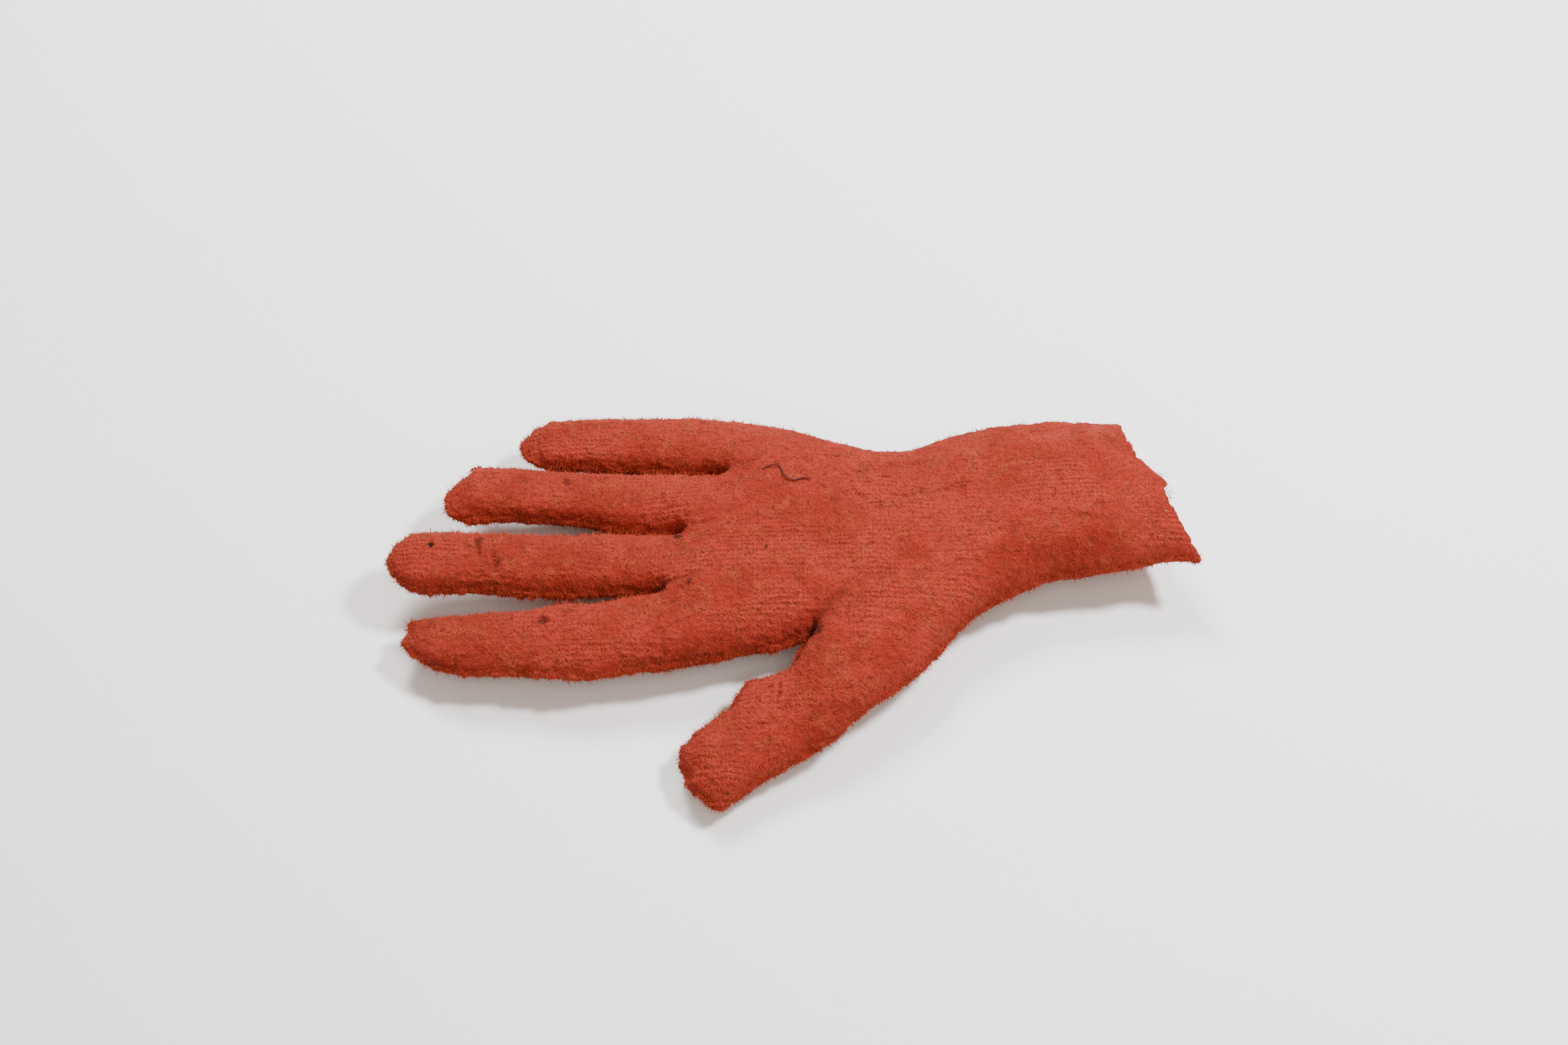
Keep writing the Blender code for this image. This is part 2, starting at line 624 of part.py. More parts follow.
def turned(bm, profile, start, sides, upright=False):
    """A solid of revolution about X, or about Z: the profile lists (distance along, radius), closed at both ends."""
    rings = []
    for along, radius in profile:
        ring = []
        for i in range(sides):
            c, s = radius * math.cos(2 * math.pi * i / sides), radius * math.sin(2 * math.pi * i / sides)
            ring.append(bm.verts.new(Vector(start) + Vector((c, s, along) if upright else (along, c, s))))
        rings.append(ring)
    for first, second in zip(rings, rings[1:]):
        loft_side(bm, first, second)
    bm.faces.new(rings[0])
    bm.faces.new(rings[-1])


def palm_pad(name, hand, side):
    """A felt pad between the palm board and the knitted panel, thinner at the knuckles."""
    bm = bmesh.new()
    near = [bm.verts.new((x, y, PALM_Z + side * PAD_INNER)) for x, y in PAD_OUTLINE]
    rim = []
    for x, y in PAD_OUTLINE:
        t = min(1.0, max(0.0, (x + 26.0) / 28.0))
        rim.append((x, y, PAD_FRONT_OUTER + (PAD_OUTER - PAD_FRONT_OUTER) * t))
    far = [bm.verts.new((x, y, PALM_Z + side * (PAD_INNER + (height - PAD_INNER) * 0.5))) for x, y, height in rim]
    inner_outline = inset([(x, y) for x, y, _ in rim], 5.0)
    top = [bm.verts.new((x, y, PALM_Z + side * r[2])) for (x, y), r in zip(inner_outline, rim)]
    loft_side(bm, near, far)
    loft_side(bm, far, top)
    bm.faces.new(near)
    bm.faces.new(top)
    bmesh.ops.triangulate(bm, faces=[f for f in bm.faces if len(f.verts) > 4])
    return piece(name, bm, hand, WADDING)


def thumb(hand):
    """The thumb: a base lath that swings sideways inside the palm, then two hinged segments."""
    base = empty("thumb_base_hinge", THUMB_SWING_PIN, heading_frame(THUMB_HEADING, 0), hand)
    lath("thumb_base_core", base, THUMB_BASE_LENGTH, tongue_flat=True)
    pin("thumb_knuckle_pin", base, (THUMB_BASE_LENGTH, 0, 0))
    pin("thumb_swing_pin", hand, THUMB_SWING_PIN, axis=(0, 0, 1), length=BOARD_THICK - 0.4)
    knuckle = Vector(THUMB_SWING_PIN) + heading_frame(THUMB_HEADING, 0) @ Vector((THUMB_BASE_LENGTH, 0, 0))
    digit("thumb", hand, knuckle, THUMB_HEADING, THUMB_SEGMENTS, THUMB_V, ("knuckle_pin", "tip_pin"))


def build():
    clear_scene()
    hand = empty("hand", [-v for v in ORIGIN], Matrix.Identity(3), None)
    yaw, pitch = math.radians(WRIST_YAW), math.radians(WRIST_PITCH)
    along = Vector((math.cos(yaw) * math.cos(pitch), math.sin(yaw) * math.cos(pitch), math.sin(pitch)))
    across = Vector((0, 0, 1)).cross(along).normalized()
    wrist = empty("wrist", WRIST_START, Matrix((along, across, along.cross(across))).transposed(), hand)

    board = palm_board(hand, wrist)
    wrist_parts(wrist, board)
    flexes = (KNUCKLE_V, MIDDLE_V, TIP_V)
    for name, (pivot, heading, segments) in FINGERS.items():
        digit(name, hand, pivot, heading, segments, flexes, ("knuckle_pin", "middle_pin", "tip_pin"))
        holder = bpy.data.objects[f"{name}_fork"]
        pin(f"{name}_knuckle_pin", holder, (0, 0, 0))
    thumb(hand)

    palm_pad("palm_pad", hand, 1)
    palm_pad("back_pad", hand, -1)
    openings = [cuff_cutter(hand), *opening_cutters(hand)]
    for name, side in (("palm_cover", 1), ("back_cover", -1)):
        cut(half_shell(name, hand, side), *openings)
    wrist_wadding(wrist)


build()
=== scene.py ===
"""A passive prosthetic hand, palm up: the looks of its knitted cover, padding and wooden skeleton."""

import json
import math

import bpy
import numpy as np
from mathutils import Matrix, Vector


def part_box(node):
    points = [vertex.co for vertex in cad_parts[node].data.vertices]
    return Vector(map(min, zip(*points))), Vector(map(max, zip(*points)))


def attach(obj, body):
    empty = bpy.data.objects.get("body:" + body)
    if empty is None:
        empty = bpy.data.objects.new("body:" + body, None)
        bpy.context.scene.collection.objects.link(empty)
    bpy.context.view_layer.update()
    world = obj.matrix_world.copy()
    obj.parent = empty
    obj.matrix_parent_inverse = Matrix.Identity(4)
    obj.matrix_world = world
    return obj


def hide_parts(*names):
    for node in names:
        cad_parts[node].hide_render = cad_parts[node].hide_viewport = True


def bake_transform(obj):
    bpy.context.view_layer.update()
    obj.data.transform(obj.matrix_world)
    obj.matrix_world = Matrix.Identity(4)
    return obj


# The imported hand: a wooden skeleton on pins, inside plain covers. Every piece below is placed by its
# joints and boxes. Plans and thicknesses are in millimetres, as a maker would write them, and MM turns
# them into metres.
MM = 0.001
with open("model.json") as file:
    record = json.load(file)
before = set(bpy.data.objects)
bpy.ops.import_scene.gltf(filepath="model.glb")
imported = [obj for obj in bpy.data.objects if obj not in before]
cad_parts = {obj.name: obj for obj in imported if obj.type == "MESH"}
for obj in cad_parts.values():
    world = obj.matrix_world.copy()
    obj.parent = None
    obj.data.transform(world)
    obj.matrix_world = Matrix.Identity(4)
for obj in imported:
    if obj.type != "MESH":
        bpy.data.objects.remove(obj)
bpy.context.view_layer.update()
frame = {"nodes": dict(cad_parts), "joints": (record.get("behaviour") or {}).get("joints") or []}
hinge = {joint["name"]: np.array(joint["pos_m"]) / MM for joint in frame["joints"]}

# The camera stands in front of the thumb side, well above the table, on a long lens. It comes first.
CAMERA_ELEVATION = 55.0
CAMERA_DISTANCE = 790.0
CAMERA_AIM = (-2.33, 38.2, 0.0)
LENS, FILM_WIDTH = 55.0, 36.0


def add_object(name, data):
    """A new object in the scene, at the origin."""
    made = bpy.data.objects.new(name, data)
    bpy.context.scene.collection.objects.link(made)
    return made


def stand_camera():
    """Places the camera on a circle round the aim: back by the cosine of its elevation and up by the sine."""
    data = bpy.data.cameras.new("camera")
    data.lens = LENS
    data.sensor_width = FILM_WIDTH
    data.clip_start = 0.01
    camera = add_object("camera", data)
    tilt = math.radians(CAMERA_ELEVATION)
    back = Vector((0, -math.cos(tilt), math.sin(tilt))) * CAMERA_DISTANCE
    camera.location = (Vector(CAMERA_AIM) + back) * MM
    camera.rotation_euler = (math.pi / 2 - tilt, 0, 0)
    bpy.context.scene.camera = camera


stand_camera()

# The table is covered with plain white cotton. Two cool lights hang behind the hand, a small one on the
# right and a larger one on the left. A wide, weak and warmer one fills in the front, and the warm room
# the rest.
TABLE_HALF = 2.5
TABLE_COLOUR = (0.90, 0.90, 0.90, 1.0)
# Lights: name, place, size, power and colour.
LIGHTS = (
    ("right_light", (500, 165, 700), 130, 13.6, (0.985, 0.985, 1.0)),
    ("left_light", (-200, 640, 700), 300, 14.4, (0.985, 0.985, 1.0)),
    ("front_fill", (40, -620, 760), 800, 4.6, (1.0, 0.95, 0.88)),
)
ROOM_COLOUR = (1.0, 0.86, 0.70, 1.0)
ROOM_STRENGTH = 0.41


def new_material(name):
    """A named material, its node tree, and its Principled shader."""
    made = bpy.data.materials.new(name)
    made.use_nodes = True
    return made, made.node_tree, made.node_tree.nodes["Principled BSDF"]


def add_node(tree, kind, **values):
    """A node of that kind. Its properties are set by name, and its inputs by name after a leading 'i_'."""
    made = tree.nodes.new(kind)
    for key, value in values.items():
        if key.startswith("i_"):
            made.inputs[key[2:].replace("_", " ")].default_value = value
        else:
            setattr(made, key, value)
    return made


def object_place(tree):
    return add_node(tree, "ShaderNodeTexCoord").outputs["Object"]


def raise_surface(tree, shader, height, strength, distance):
    """Feeds a height to the shader's normal through a Bump node."""
    bump = add_node(tree, "ShaderNodeBump", i_Strength=strength, i_Distance=distance)
    tree.links.new(height, bump.inputs["Height"])
    tree.links.new(bump.outputs["Normal"], shader.inputs["Normal"])


def lay_table():
    """A square cloth, flat at z = 0, with broad shallow creases of noise as bump."""
    corners = [(x * TABLE_HALF, y * TABLE_HALF, 0) for x, y in ((-1, -1), (1, -1), (1, 1), (-1, 1))]
    mesh = bpy.data.meshes.new("table")
    mesh.from_pydata(corners, [], [(0, 1, 2, 3)])
    table = add_object("table", mesh)
    material, tree, shader = new_material("white_cotton")
    shader.inputs["Roughness"].default_value = 0.95
    shader.inputs["Base Color"].default_value = TABLE_COLOUR
    creases = add_node(tree, "ShaderNodeTexNoise", i_Scale=9.0, i_Detail=3.0, i_Roughness=0.45)
    tree.links.new(object_place(tree), creases.inputs["Vector"])
    raise_surface(tree, shader, creases.outputs["Fac"], 0.35, 0.004)
    mesh.materials.append(material)


def hang_light(name, place, size, power, colour):
    """A square area light that faces the middle of the hand."""
    data = bpy.data.lights.new(name, "AREA")
    data.size = size * MM
    data.energy = power
    data.color = colour
    light = add_object(name, data)
    light.location = Vector(place) * MM
    light.rotation_euler = (-light.location).to_track_quat("-Z", "Y").to_euler()


def fill_room():
    world = bpy.data.worlds.new("room")
    bpy.context.scene.world = world
    world.use_nodes = True
    background = world.node_tree.nodes["Background"]
    background.inputs["Color"].default_value = ROOM_COLOUR
    background.inputs["Strength"].default_value = ROOM_STRENGTH


lay_table()
for light_facts in LIGHTS:
    hang_light(*light_facts)
fill_room()

# The skeleton: beech laths planed and oiled, drilled for steel pins, with a beech wrist block, a steel end
# plate on wood screws, and a brass threaded insert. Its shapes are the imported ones, so only their finish
# is set here.
BEECH_LIGHT, BEECH_DARK = (0.56, 0.37, 0.20, 1.0), (0.36, 0.21, 0.10, 1.0)
BEECH_FLECK = (0.20, 0.11, 0.05, 1.0)
STEEL, BRASS = (0.56, 0.57, 0.59, 1.0), (0.72, 0.53, 0.24, 1.0)


def noise_node(tree, place, scale, detail, distortion=0.0):
    made = add_node(tree, "ShaderNodeTexNoise", i_Scale=scale, i_Detail=detail, i_Distortion=distortion)
    tree.links.new(place, made.inputs["Vector"])
    return made.outputs["Fac"]


def span(tree, value, low, high, to_low=0.0, to_high=1.0):
    """Maps a value from one range to another, clamped."""
    made = tree.nodes.new("ShaderNodeMapRange")
    for socket, limit in zip(("From Min", "From Max", "To Min", "To Max"), (low, high, to_low, to_high)):
        made.inputs[socket].default_value = limit
    tree.links.new(value, made.inputs["Value"])
    return made.outputs["Result"]


def blend_colour(tree, share, first, second):
    """Mixes two colours, each a tuple or the output of another node."""
    made = tree.nodes.new("ShaderNodeMixRGB")
    tree.links.new(share, made.inputs["Fac"])
    for socket, value in zip(made.inputs[1:], (first, second)):
        if isinstance(value, tuple):
            socket.default_value = value
        else:
            tree.links.new(value, socket)
    return made.outputs["Color"]


def beech():
    """Wood: noise drawn out along X makes the grain, and short dark flecks lie along it."""
    material, tree, shader = new_material("oiled_beech")
    stretch = add_node(tree, "ShaderNodeMapping", i_Scale=(60.0, 900.0, 900.0))
    tree.links.new(object_place(tree), stretch.inputs["Vector"])
    grain = noise_node(tree, stretch.outputs["Vector"], 1.0, 5.0, 0.6)
    flecks = noise_node(tree, stretch.outputs["Vector"], 3.1, 1.0)
    tone = blend_colour(tree, span(tree, grain, 0.38, 0.68), BEECH_LIGHT, BEECH_DARK)
    tone = blend_colour(tree, span(tree, flecks, 0.66, 0.74, 0.0, 0.6), tone, BEECH_FLECK)
    tree.links.new(tone, shader.inputs["Base Color"])
    shader.inputs["Roughness"].default_value = 0.55
    raise_surface(tree, shader, grain, 0.5, 0.00015)
    return material


def metal(name, colour, roughness):
    """Turned or rolled metal: fine noise scuffs its roughness and shades its colour a little."""
    material, tree, shader = new_material(name)
    shader.inputs["Metallic"].default_value = 1.0
    scuffs = noise_node(tree, object_place(tree), 700.0, 4.0)
    dull = tuple(0.72 * c for c in colour[:3]) + (1.0,)
    polish = span(tree, scuffs, 0.0, 1.0, roughness - 0.1, roughness + 0.2)
    tree.links.new(polish, shader.inputs["Roughness"])
    tree.links.new(blend_colour(tree, scuffs, colour, dull), shader.inputs["Base Color"])
    return material


def finish_nodes(material, wanted):
    """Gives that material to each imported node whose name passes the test."""
    for name, node in frame["nodes"].items():
        if wanted(name):
            for material_slot in node.material_slots:
                material_slot.material = material


finish_nodes(beech(), lambda name: name.endswith("_core") or name == "wrist_block")
finish_nodes(metal("brushed_steel", STEEL, 0.35),
             lambda name: name.endswith("_pin") or "screw" in name or name == "wrist_plate")
finish_nodes(metal("brass", BRASS, 0.3), lambda name: name == "threaded_insert")

# The cover: two panels of red knit, cut to one outline and sewn together along it, then stuffed. The
# outline is the seam as it lies, in plan from the crook of the thumb and round by the thumb, wrist and
# fingers; its cuff end runs on past the torn edge.
OUTLINE_SHIFT = np.array((-2.33, 1.22))
SEAM_PLAN = np.array((
    (10.0, -14.6), (6.0, -21.5), (2.0, -28.0), (-5.5, -30.6), (-12.0, -32.8), (-14.6, -38.6),
    (-18.4, -42.4), (-22.6, -45.6), (-27.4, -50.0), (-31.0, -54.6), (-31.2, -58.5), (-29.2, -61.8),
    (-28.6, -65.6), (-24.6, -69.6), (-20.4, -71.9), (-17.8, -71.3), (-10.0, -65.8), (0.0, -60.2),
    (9.6, -53.8), (15.6, -50.4), (18.4, -46.8), (29.4, -38.0), (39.6, -29.8), (49.6, -19.2),
    (56.0, -11.2), (66.0, -3.4), (80.0, 3.4), (90.0, 5.6), (110.0, 7.8), (121.0, 10.0), (140.0, 13.4),
    (140.0, 59.0), (118.0, 61.4), (106.0, 62.4), (98.0, 63.4), (90.0, 63.8), (80.0, 63.9), (70.0, 63.4),
    (60.0, 61.9), (50.0, 58.8), (44.0, 55.2), (37.0, 53.3), (30.0, 53.8), (20.0, 56.8), (10.0, 60.2),
    (0.0, 63.8), (-10.0, 66.3), (-20.0, 67.8), (-30.0, 68.9), (-40.0, 68.2), (-50.0, 68.4),
    (-60.0, 68.2), (-70.0, 67.4), (-79.0, 65.4), (-83.6, 62.4), (-85.6, 58.3), (-84.6, 54.0),
    (-81.5, 51.0), (-70.0, 49.6), (-50.0, 48.7), (-30.0, 47.6), (-21.0, 46.6), (-18.6, 45.4),
    (-21.0, 44.0), (-30.0, 44.4), (-50.0, 45.4), (-70.0, 46.2), (-80.0, 46.8), (-90.0, 47.0),
    (-97.6, 45.7), (-104.0, 42.6), (-108.0, 38.0), (-109.0, 33.8), (-107.0, 29.8), (-103.0, 27.6),
    (-96.0, 28.0), (-90.0, 28.8), (-80.0, 28.5), (-70.0, 27.6), (-60.0, 25.8), (-50.0, 24.0),
    (-40.0, 23.3), (-34.5, 22.8), (-32.4, 22.0), (-35.0, 21.1), (-50.0, 21.3), (-70.0, 21.1),
    (-80.0, 20.9), (-90.0, 20.8), (-100.0, 21.0), (-110.0, 21.4), (-118.0, 19.8), (-122.6, 15.8),
    (-124.7, 10.8), (-124.0, 6.2), (-120.8, 2.4), (-115.0, 0.4), (-108.0, 0.0), (-98.0, 0.1),
    (-90.0, 0.0), (-80.0, -0.1), (-70.0, 0.0), (-50.0, 0.4), (-40.0, 0.3), (-37.4, -0.5), (-41.0, -1.4),
    (-50.0, -1.9), (-56.0, -4.0), (-62.0, -4.8), (-70.0, -5.0), (-80.0, -6.8), (-90.0, -7.2),
    (-100.0, -7.4), (-108.0, -8.4), (-114.5, -8.6), (-117.4, -9.6), (-117.2, -13.2), (-118.9, -16.0),
    (-116.4, -19.8), (-110.6, -23.6), (-104.4, -26.8), (-98.0, -28.2), (-90.0, -28.6), (-80.0, -28.8),
    (-70.0, -30.0), (-61.0, -31.0), (-50.0, -28.6), (-40.0, -26.9), (-30.0, -25.2), (-20.0, -23.4),
    (-10.0, -20.8), (0.0, -18.2), (5.0, -16.4),
)) + OUTLINE_SHIFT
# The torn edge of the cuff, as its place along the wrist at points across it.
CUFF_ACROSS = (10.9, 13.2, 17.2, 26.2, 32.2, 34.6, 39.2, 44.7, 52.0, 61.6)
CUFF_ALONG = (129.0, 127.0, 124.8, 120.6, 118.8, 120.4, 115.8, 111.6, 108.6, 107.6)
PITCH = 0.55  # of the grid on which the skin is worked out
FINGERS = ("index", "middle", "ring", "little")
PALM_HEIGHT = 13.0  # of the seam in the palm
WRIST_BEGINS, WRIST_SLOPE = 54.0, math.tan(math.radians(5.0))
FINGER_REACH, THUMB_REACH = 14.0, 18.0  # how far from a digit's line its height counts
STUFFING_REACH = 22.0
ROUNDNESS, FULLEST = 0.60, 14.6  # FULLEST is the most that one panel stands off the seam's level
LATH_HALF, BLOCK_HALF, CORE_MARGIN = (6.5, 3.25), (21.0, 9.6), 1.3
RAW_EDGE = 0.75  # radius of the seam's raw edge
CLOTH = 1.7
HOLLOW_BEGINS = 96.0  # where the cuff's hollow starts, along the wrist


def smooth_outline(points, steps):
    """A closed Catmull-Rom curve: cubic pieces through the points, each cut into that many steps."""
    before, after, beyond = np.roll(points, 1, 0), np.roll(points, -1, 0), np.roll(points, -2, 0)
    t = (np.arange(steps) / steps)[None, :, None]
    p0, p1, p2, p3 = (p[:, None, :] for p in (before, points, after, beyond))
    curve = 2 * p1 + (p2 - p0) * t
    curve = curve + (2 * p0 - 5 * p1 + 4 * p2 - p3) * t**2 + (3 * p1 - p0 - 3 * p2 + p3) * t**3
    return (curve / 2).reshape(-1, 2)


def random_lattice(points, size, seed):
    """Smooth noise from -1 to 1: random values on a cubic lattice, blended by 3t^2 - 2t^3 along each axis."""
    table = np.random.default_rng(seed).uniform(-1, 1, (64, 64, 64)).astype(np.float32)
    scaled = points / np.asarray(size, float)
    base = np.floor(scaled).astype(np.int64)
    t = scaled - base
    t = t * t * (3 - 2 * t)
    total = np.zeros(len(points))
    for corner in np.ndindex(2, 2, 2):
        weight = np.prod(np.where(corner, t, 1 - t), axis=1)
        i, j, k = ((base + corner) % 64).T
        total += weight * table[i, j, k]
    return total


def inward_distance(points, outline):
    """Distance to a closed outline's nearest edge, positive inside, where a line to +X crosses it oddly."""
    start, end = outline, np.roll(outline, -1, 0)
    edge = end - start
    inv = 1 / (edge**2).sum(1)
    rise = np.where(np.abs(edge[:, 1]) < 1e-9, 1e-9, edge[:, 1])
    found = np.empty(len(points))
    for first in range(0, len(points), 4000):
        p = points[first:first + 4000, None, :]
        t = np.clip(((p - start) * edge).sum(2) * inv, 0, 1)
        near = np.sqrt((((p - start) - t[..., None] * edge) ** 2).sum(2).min(1))
        spans = (start[:, 1] > p[..., 1]) != (end[:, 1] > p[..., 1])
        crossing = start[:, 0] + (p[..., 1] - start[:, 1]) * edge[:, 0] / rise
        odd = (spans & (crossing > p[..., 0])).sum(1) % 2
        found[first:first + 4000] = np.where(odd, near, -near)
    return found


def membrane(inside, pitch):
    """Deflection u of a cloth held along the seam and pushed evenly: laplacian u - u / reach^2 = -1.

    Jacobi steps, on a grid of every fourth cell, then every second, then all of them.
    """
    deflection = np.zeros(tuple(-(-n // 4) for n in inside.shape))
    for skip, rounds in ((4, 900), (2, 500), (1, 350)):
        held = inside[::skip, ::skip]
        deflection = deflection[:held.shape[0], :held.shape[1]]
        h2 = (pitch * skip) ** 2
        for _ in range(rounds):
            edges = np.pad(deflection, 1)
            around = edges[:-2, 1:-1] + edges[2:, 1:-1] + edges[1:-1, :-2] + edges[1:-1, 2:]
            deflection = np.where(held, (around + h2) / (4 + h2 / STUFFING_REACH**2), 0.0)
        if skip > 1:
            deflection = deflection.repeat(2, 0).repeat(2, 1)
    return deflection


def steepness_at_seam(deflection, distance):
    """u / distance inside, spread outwards by repeated averages, to give u close to the seam."""
    known = distance > 1.2
    ratio = np.where(known, deflection / np.maximum(distance, 1.2), 0.0)
    weight = known.astype(float)
    for _ in range(9):
        total, count = (np.pad(a, 1) for a in (ratio * weight, weight))
        total = total[:-2, 1:-1] + total[2:, 1:-1] + total[1:-1, :-2] + total[1:-1, 2:]
        count = count[:-2, 1:-1] + count[2:, 1:-1] + count[1:-1, :-2] + count[1:-1, 2:]
        fresh = (weight == 0) & (count > 0)
        ratio = np.where(fresh, total / np.maximum(count, 1), ratio)
        weight = np.where(fresh, 1.0, weight)
    return ratio


def digit_line(name):
    """A digit's middle line: its hinges, then a tip in line with the last hinge and its lath's middle."""
    first, second = ("swing", "knuckle_hinge") if name == "thumb" else ("knuckle_hinge", "middle_hinge")
    line = [hinge[f"{name}_{joint}"] for joint in (first, second, "tip_hinge")]
    onward = np.mean(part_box(f"{name}_distal_core"), axis=0) / MM - line[-1]
    reach = line[-1][0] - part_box(f"{name}_distal_cover")[0][0] / MM - 2.0
    return np.array([*line, line[-1] + onward * reach / abs(onward[0])])


def seam_height(x, y):
    """Height of the seam's surface: level in the palm, rising up the wrist, and along each digit's own line.

    A digit's line counts by exp(-(r / reach)^8), with r the distance from the line in plan.
    """
    height = PALM_HEIGHT + WRIST_SLOPE * 0.5 * (x - WRIST_BEGINS + np.sqrt((x - WRIST_BEGINS) ** 2 + 60.0))
    for name in ("thumb", *FINGERS):
        line = digit_line(name)
        share = np.linspace(0, len(line) - 1, 60)
        spine = np.stack([np.interp(share, range(len(line)), line[:, axis]) for axis in range(3)], 1)
        reach = THUMB_REACH if name == "thumb" else FINGER_REACH
        near = np.full(x.shape, 1e9)
        lift = np.zeros(x.shape)
        for px, py, pz in spine:
            r2 = (x - px) ** 2 + (y - py) ** 2
            closer = r2 < near
            near = np.where(closer, r2, near)
            lift = np.where(closer, pz - PALM_HEIGHT, lift)
        height = height + lift * np.exp(-((np.sqrt(near) / reach) ** 8))
    return height


def hard_cores():
    """The wooden parts that the stuffing hides, each as its middle line, half width and half thickness."""
    cores = []
    for name in ("thumb", *FINGERS):
        line = digit_line(name)
        tip_low = np.array(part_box(f"{name}_distal_core")[0]) / MM
        share = (line[-2] - tip_low)[0] / (line[-2] - line[-1])[0]
        end = line[-2] + (line[-1] - line[-2]) * min(share, 0.75)
        joints = [*line[:-1], end]
        cores += [((a, b), LATH_HALF) for a, b in zip(joints, joints[1:])]
    middle, end = (np.mean(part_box(node), axis=0) / MM for node in ("wrist_block", "wrist_plate"))
    cores.append(((2 * middle - end, end), BLOCK_HALF))
    return cores


def axes_along(start, end):
    """Three unit vectors: from start to end, level across that, and square to both."""
    heading = (end - start) / np.linalg.norm(end - start)
    across = np.cross((0, 0, 1), heading)
    across /= np.linalg.norm(across)
    return np.stack([heading, across, np.cross(heading, across)])


def wrap_core(outer, low, line, half):
    """Joins a rounded box round a core, a margin outside it, to the stuffed shape, with a soft fillet."""
    start, end = line
    middle, axes = (start + end) / 2, axes_along(start, end)
    size = np.array((np.linalg.norm(end - start) / 2, *half)) + CORE_MARGIN
    radius = size[2] * 0.6
    reach = np.linalg.norm(size) + 4.0
    first = np.maximum(((middle - reach - low) / PITCH).astype(int), 0)
    last = np.minimum(((middle + reach - low) / PITCH).astype(int), outer.shape)
    where = tuple(slice(a, b) for a, b in zip(first, last))
    steps = [low[k] + PITCH * np.arange(first[k], last[k]) for k in range(3)]
    offset = np.stack(np.meshgrid(*steps, indexing="ij"), -1) - middle
    beyond = np.abs(offset @ axes.T) - (size - radius)
    distance = np.linalg.norm(np.maximum(beyond, 0), axis=-1) + np.minimum(beyond.max(-1), 0) - radius
    outer[where] = softly_joined(outer[where], distance, 3.0)
    return outer


def shape_field():
    """A signed distance, near enough, on a grid over the stuffed cover.

    It is f = (z - seam)^2 - thickness^2, over |grad f|. The seam's raw edge is a thin cord joined on, the
    table flattens the underside, and the cuff is hollow and torn.
    """
    low = np.array((*(SEAM_PLAN.min(0) - 3.0), -0.8))
    xs = low[0] + PITCH * np.arange(int((CUFF_ALONG[0] + 5.0 - low[0]) / PITCH))
    ys = low[1] + PITCH * np.arange(int((SEAM_PLAN[:, 1].max() + 3.0 - low[1]) / PITCH))
    zs = low[2] + PITCH * np.arange(int(35.0 / PITCH))
    x, y = np.meshgrid(xs, ys, indexing="ij")
    plan = np.stack([x.ravel(), y.ravel()], 1)
    flat = np.column_stack([plan, np.zeros(len(plan))])
    ragged = 0.45 * random_lattice(flat, 2.6, 1) + 0.42 * random_lattice(flat, 1.25, 2)
    distance = inward_distance(plan, smooth_outline(SEAM_PLAN, 4)).reshape(x.shape)
    deflection = membrane(distance > 0, PITCH)
    ratio = steepness_at_seam(deflection, distance)
    close = np.clip((2.4 - distance) / 1.2, 0, 1)
    deflection = deflection * (1 - close) + ratio * distance * close
    arch = ROUNDNESS**2 * 2 * deflection
    half = np.sqrt(np.maximum(arch, 1e-6))
    thickness2 = np.where(arch > 0, (half / (1 + (half / FULLEST) ** 3) ** (1 / 3)) ** 2, arch)
    seam = seam_height(x, y)
    slope_x, slope_y = np.gradient(seam, PITCH)
    arch_x, arch_y = np.gradient(thickness2, PITCH)
    dz = zs[None, None, :] - seam[..., None]
    f = dz**2 - thickness2[..., None]
    steep2 = 4 * dz**2
    steep2 = steep2 + (2 * dz * slope_x[..., None] + arch_x[..., None]) ** 2
    steep2 = steep2 + (2 * dz * slope_y[..., None] + arch_y[..., None]) ** 2
    outer = f / np.sqrt(np.maximum(steep2, 1.0))
    for core, half in hard_cores():
        outer = wrap_core(outer, low, core, half)
    ragged = ragged.reshape(x.shape)
    cord = np.sqrt((distance + 0.1)[..., None] ** 2 + dz**2) - (RAW_EDGE + ragged[..., None])
    outer = softly_joined(outer, cord, 0.8)
    outer = -softly_joined(-outer, zs[None, None, :] - 0.25, 2.0)
    edge = np.interp(y, CUFF_ACROSS, CUFF_ALONG) + 0.8 * ragged
    beyond_cuff = 0.92 * (x - edge)[..., None]
    hollow = np.maximum(outer + CLOTH, HOLLOW_BEGINS - x[..., None])
    solid = np.maximum(np.maximum(outer, beyond_cuff), -hollow)
    return solid.astype(np.float32), low, seam, distance, np.sqrt(np.maximum(thickness2, 0))


def softly_joined(a, b, width):
    """The smaller of two distances, rounded where they are within that width of each other."""
    overlap = np.maximum(width - np.abs(a - b), 0) / width
    return np.minimum(a, b) - overlap**2 * width / 4


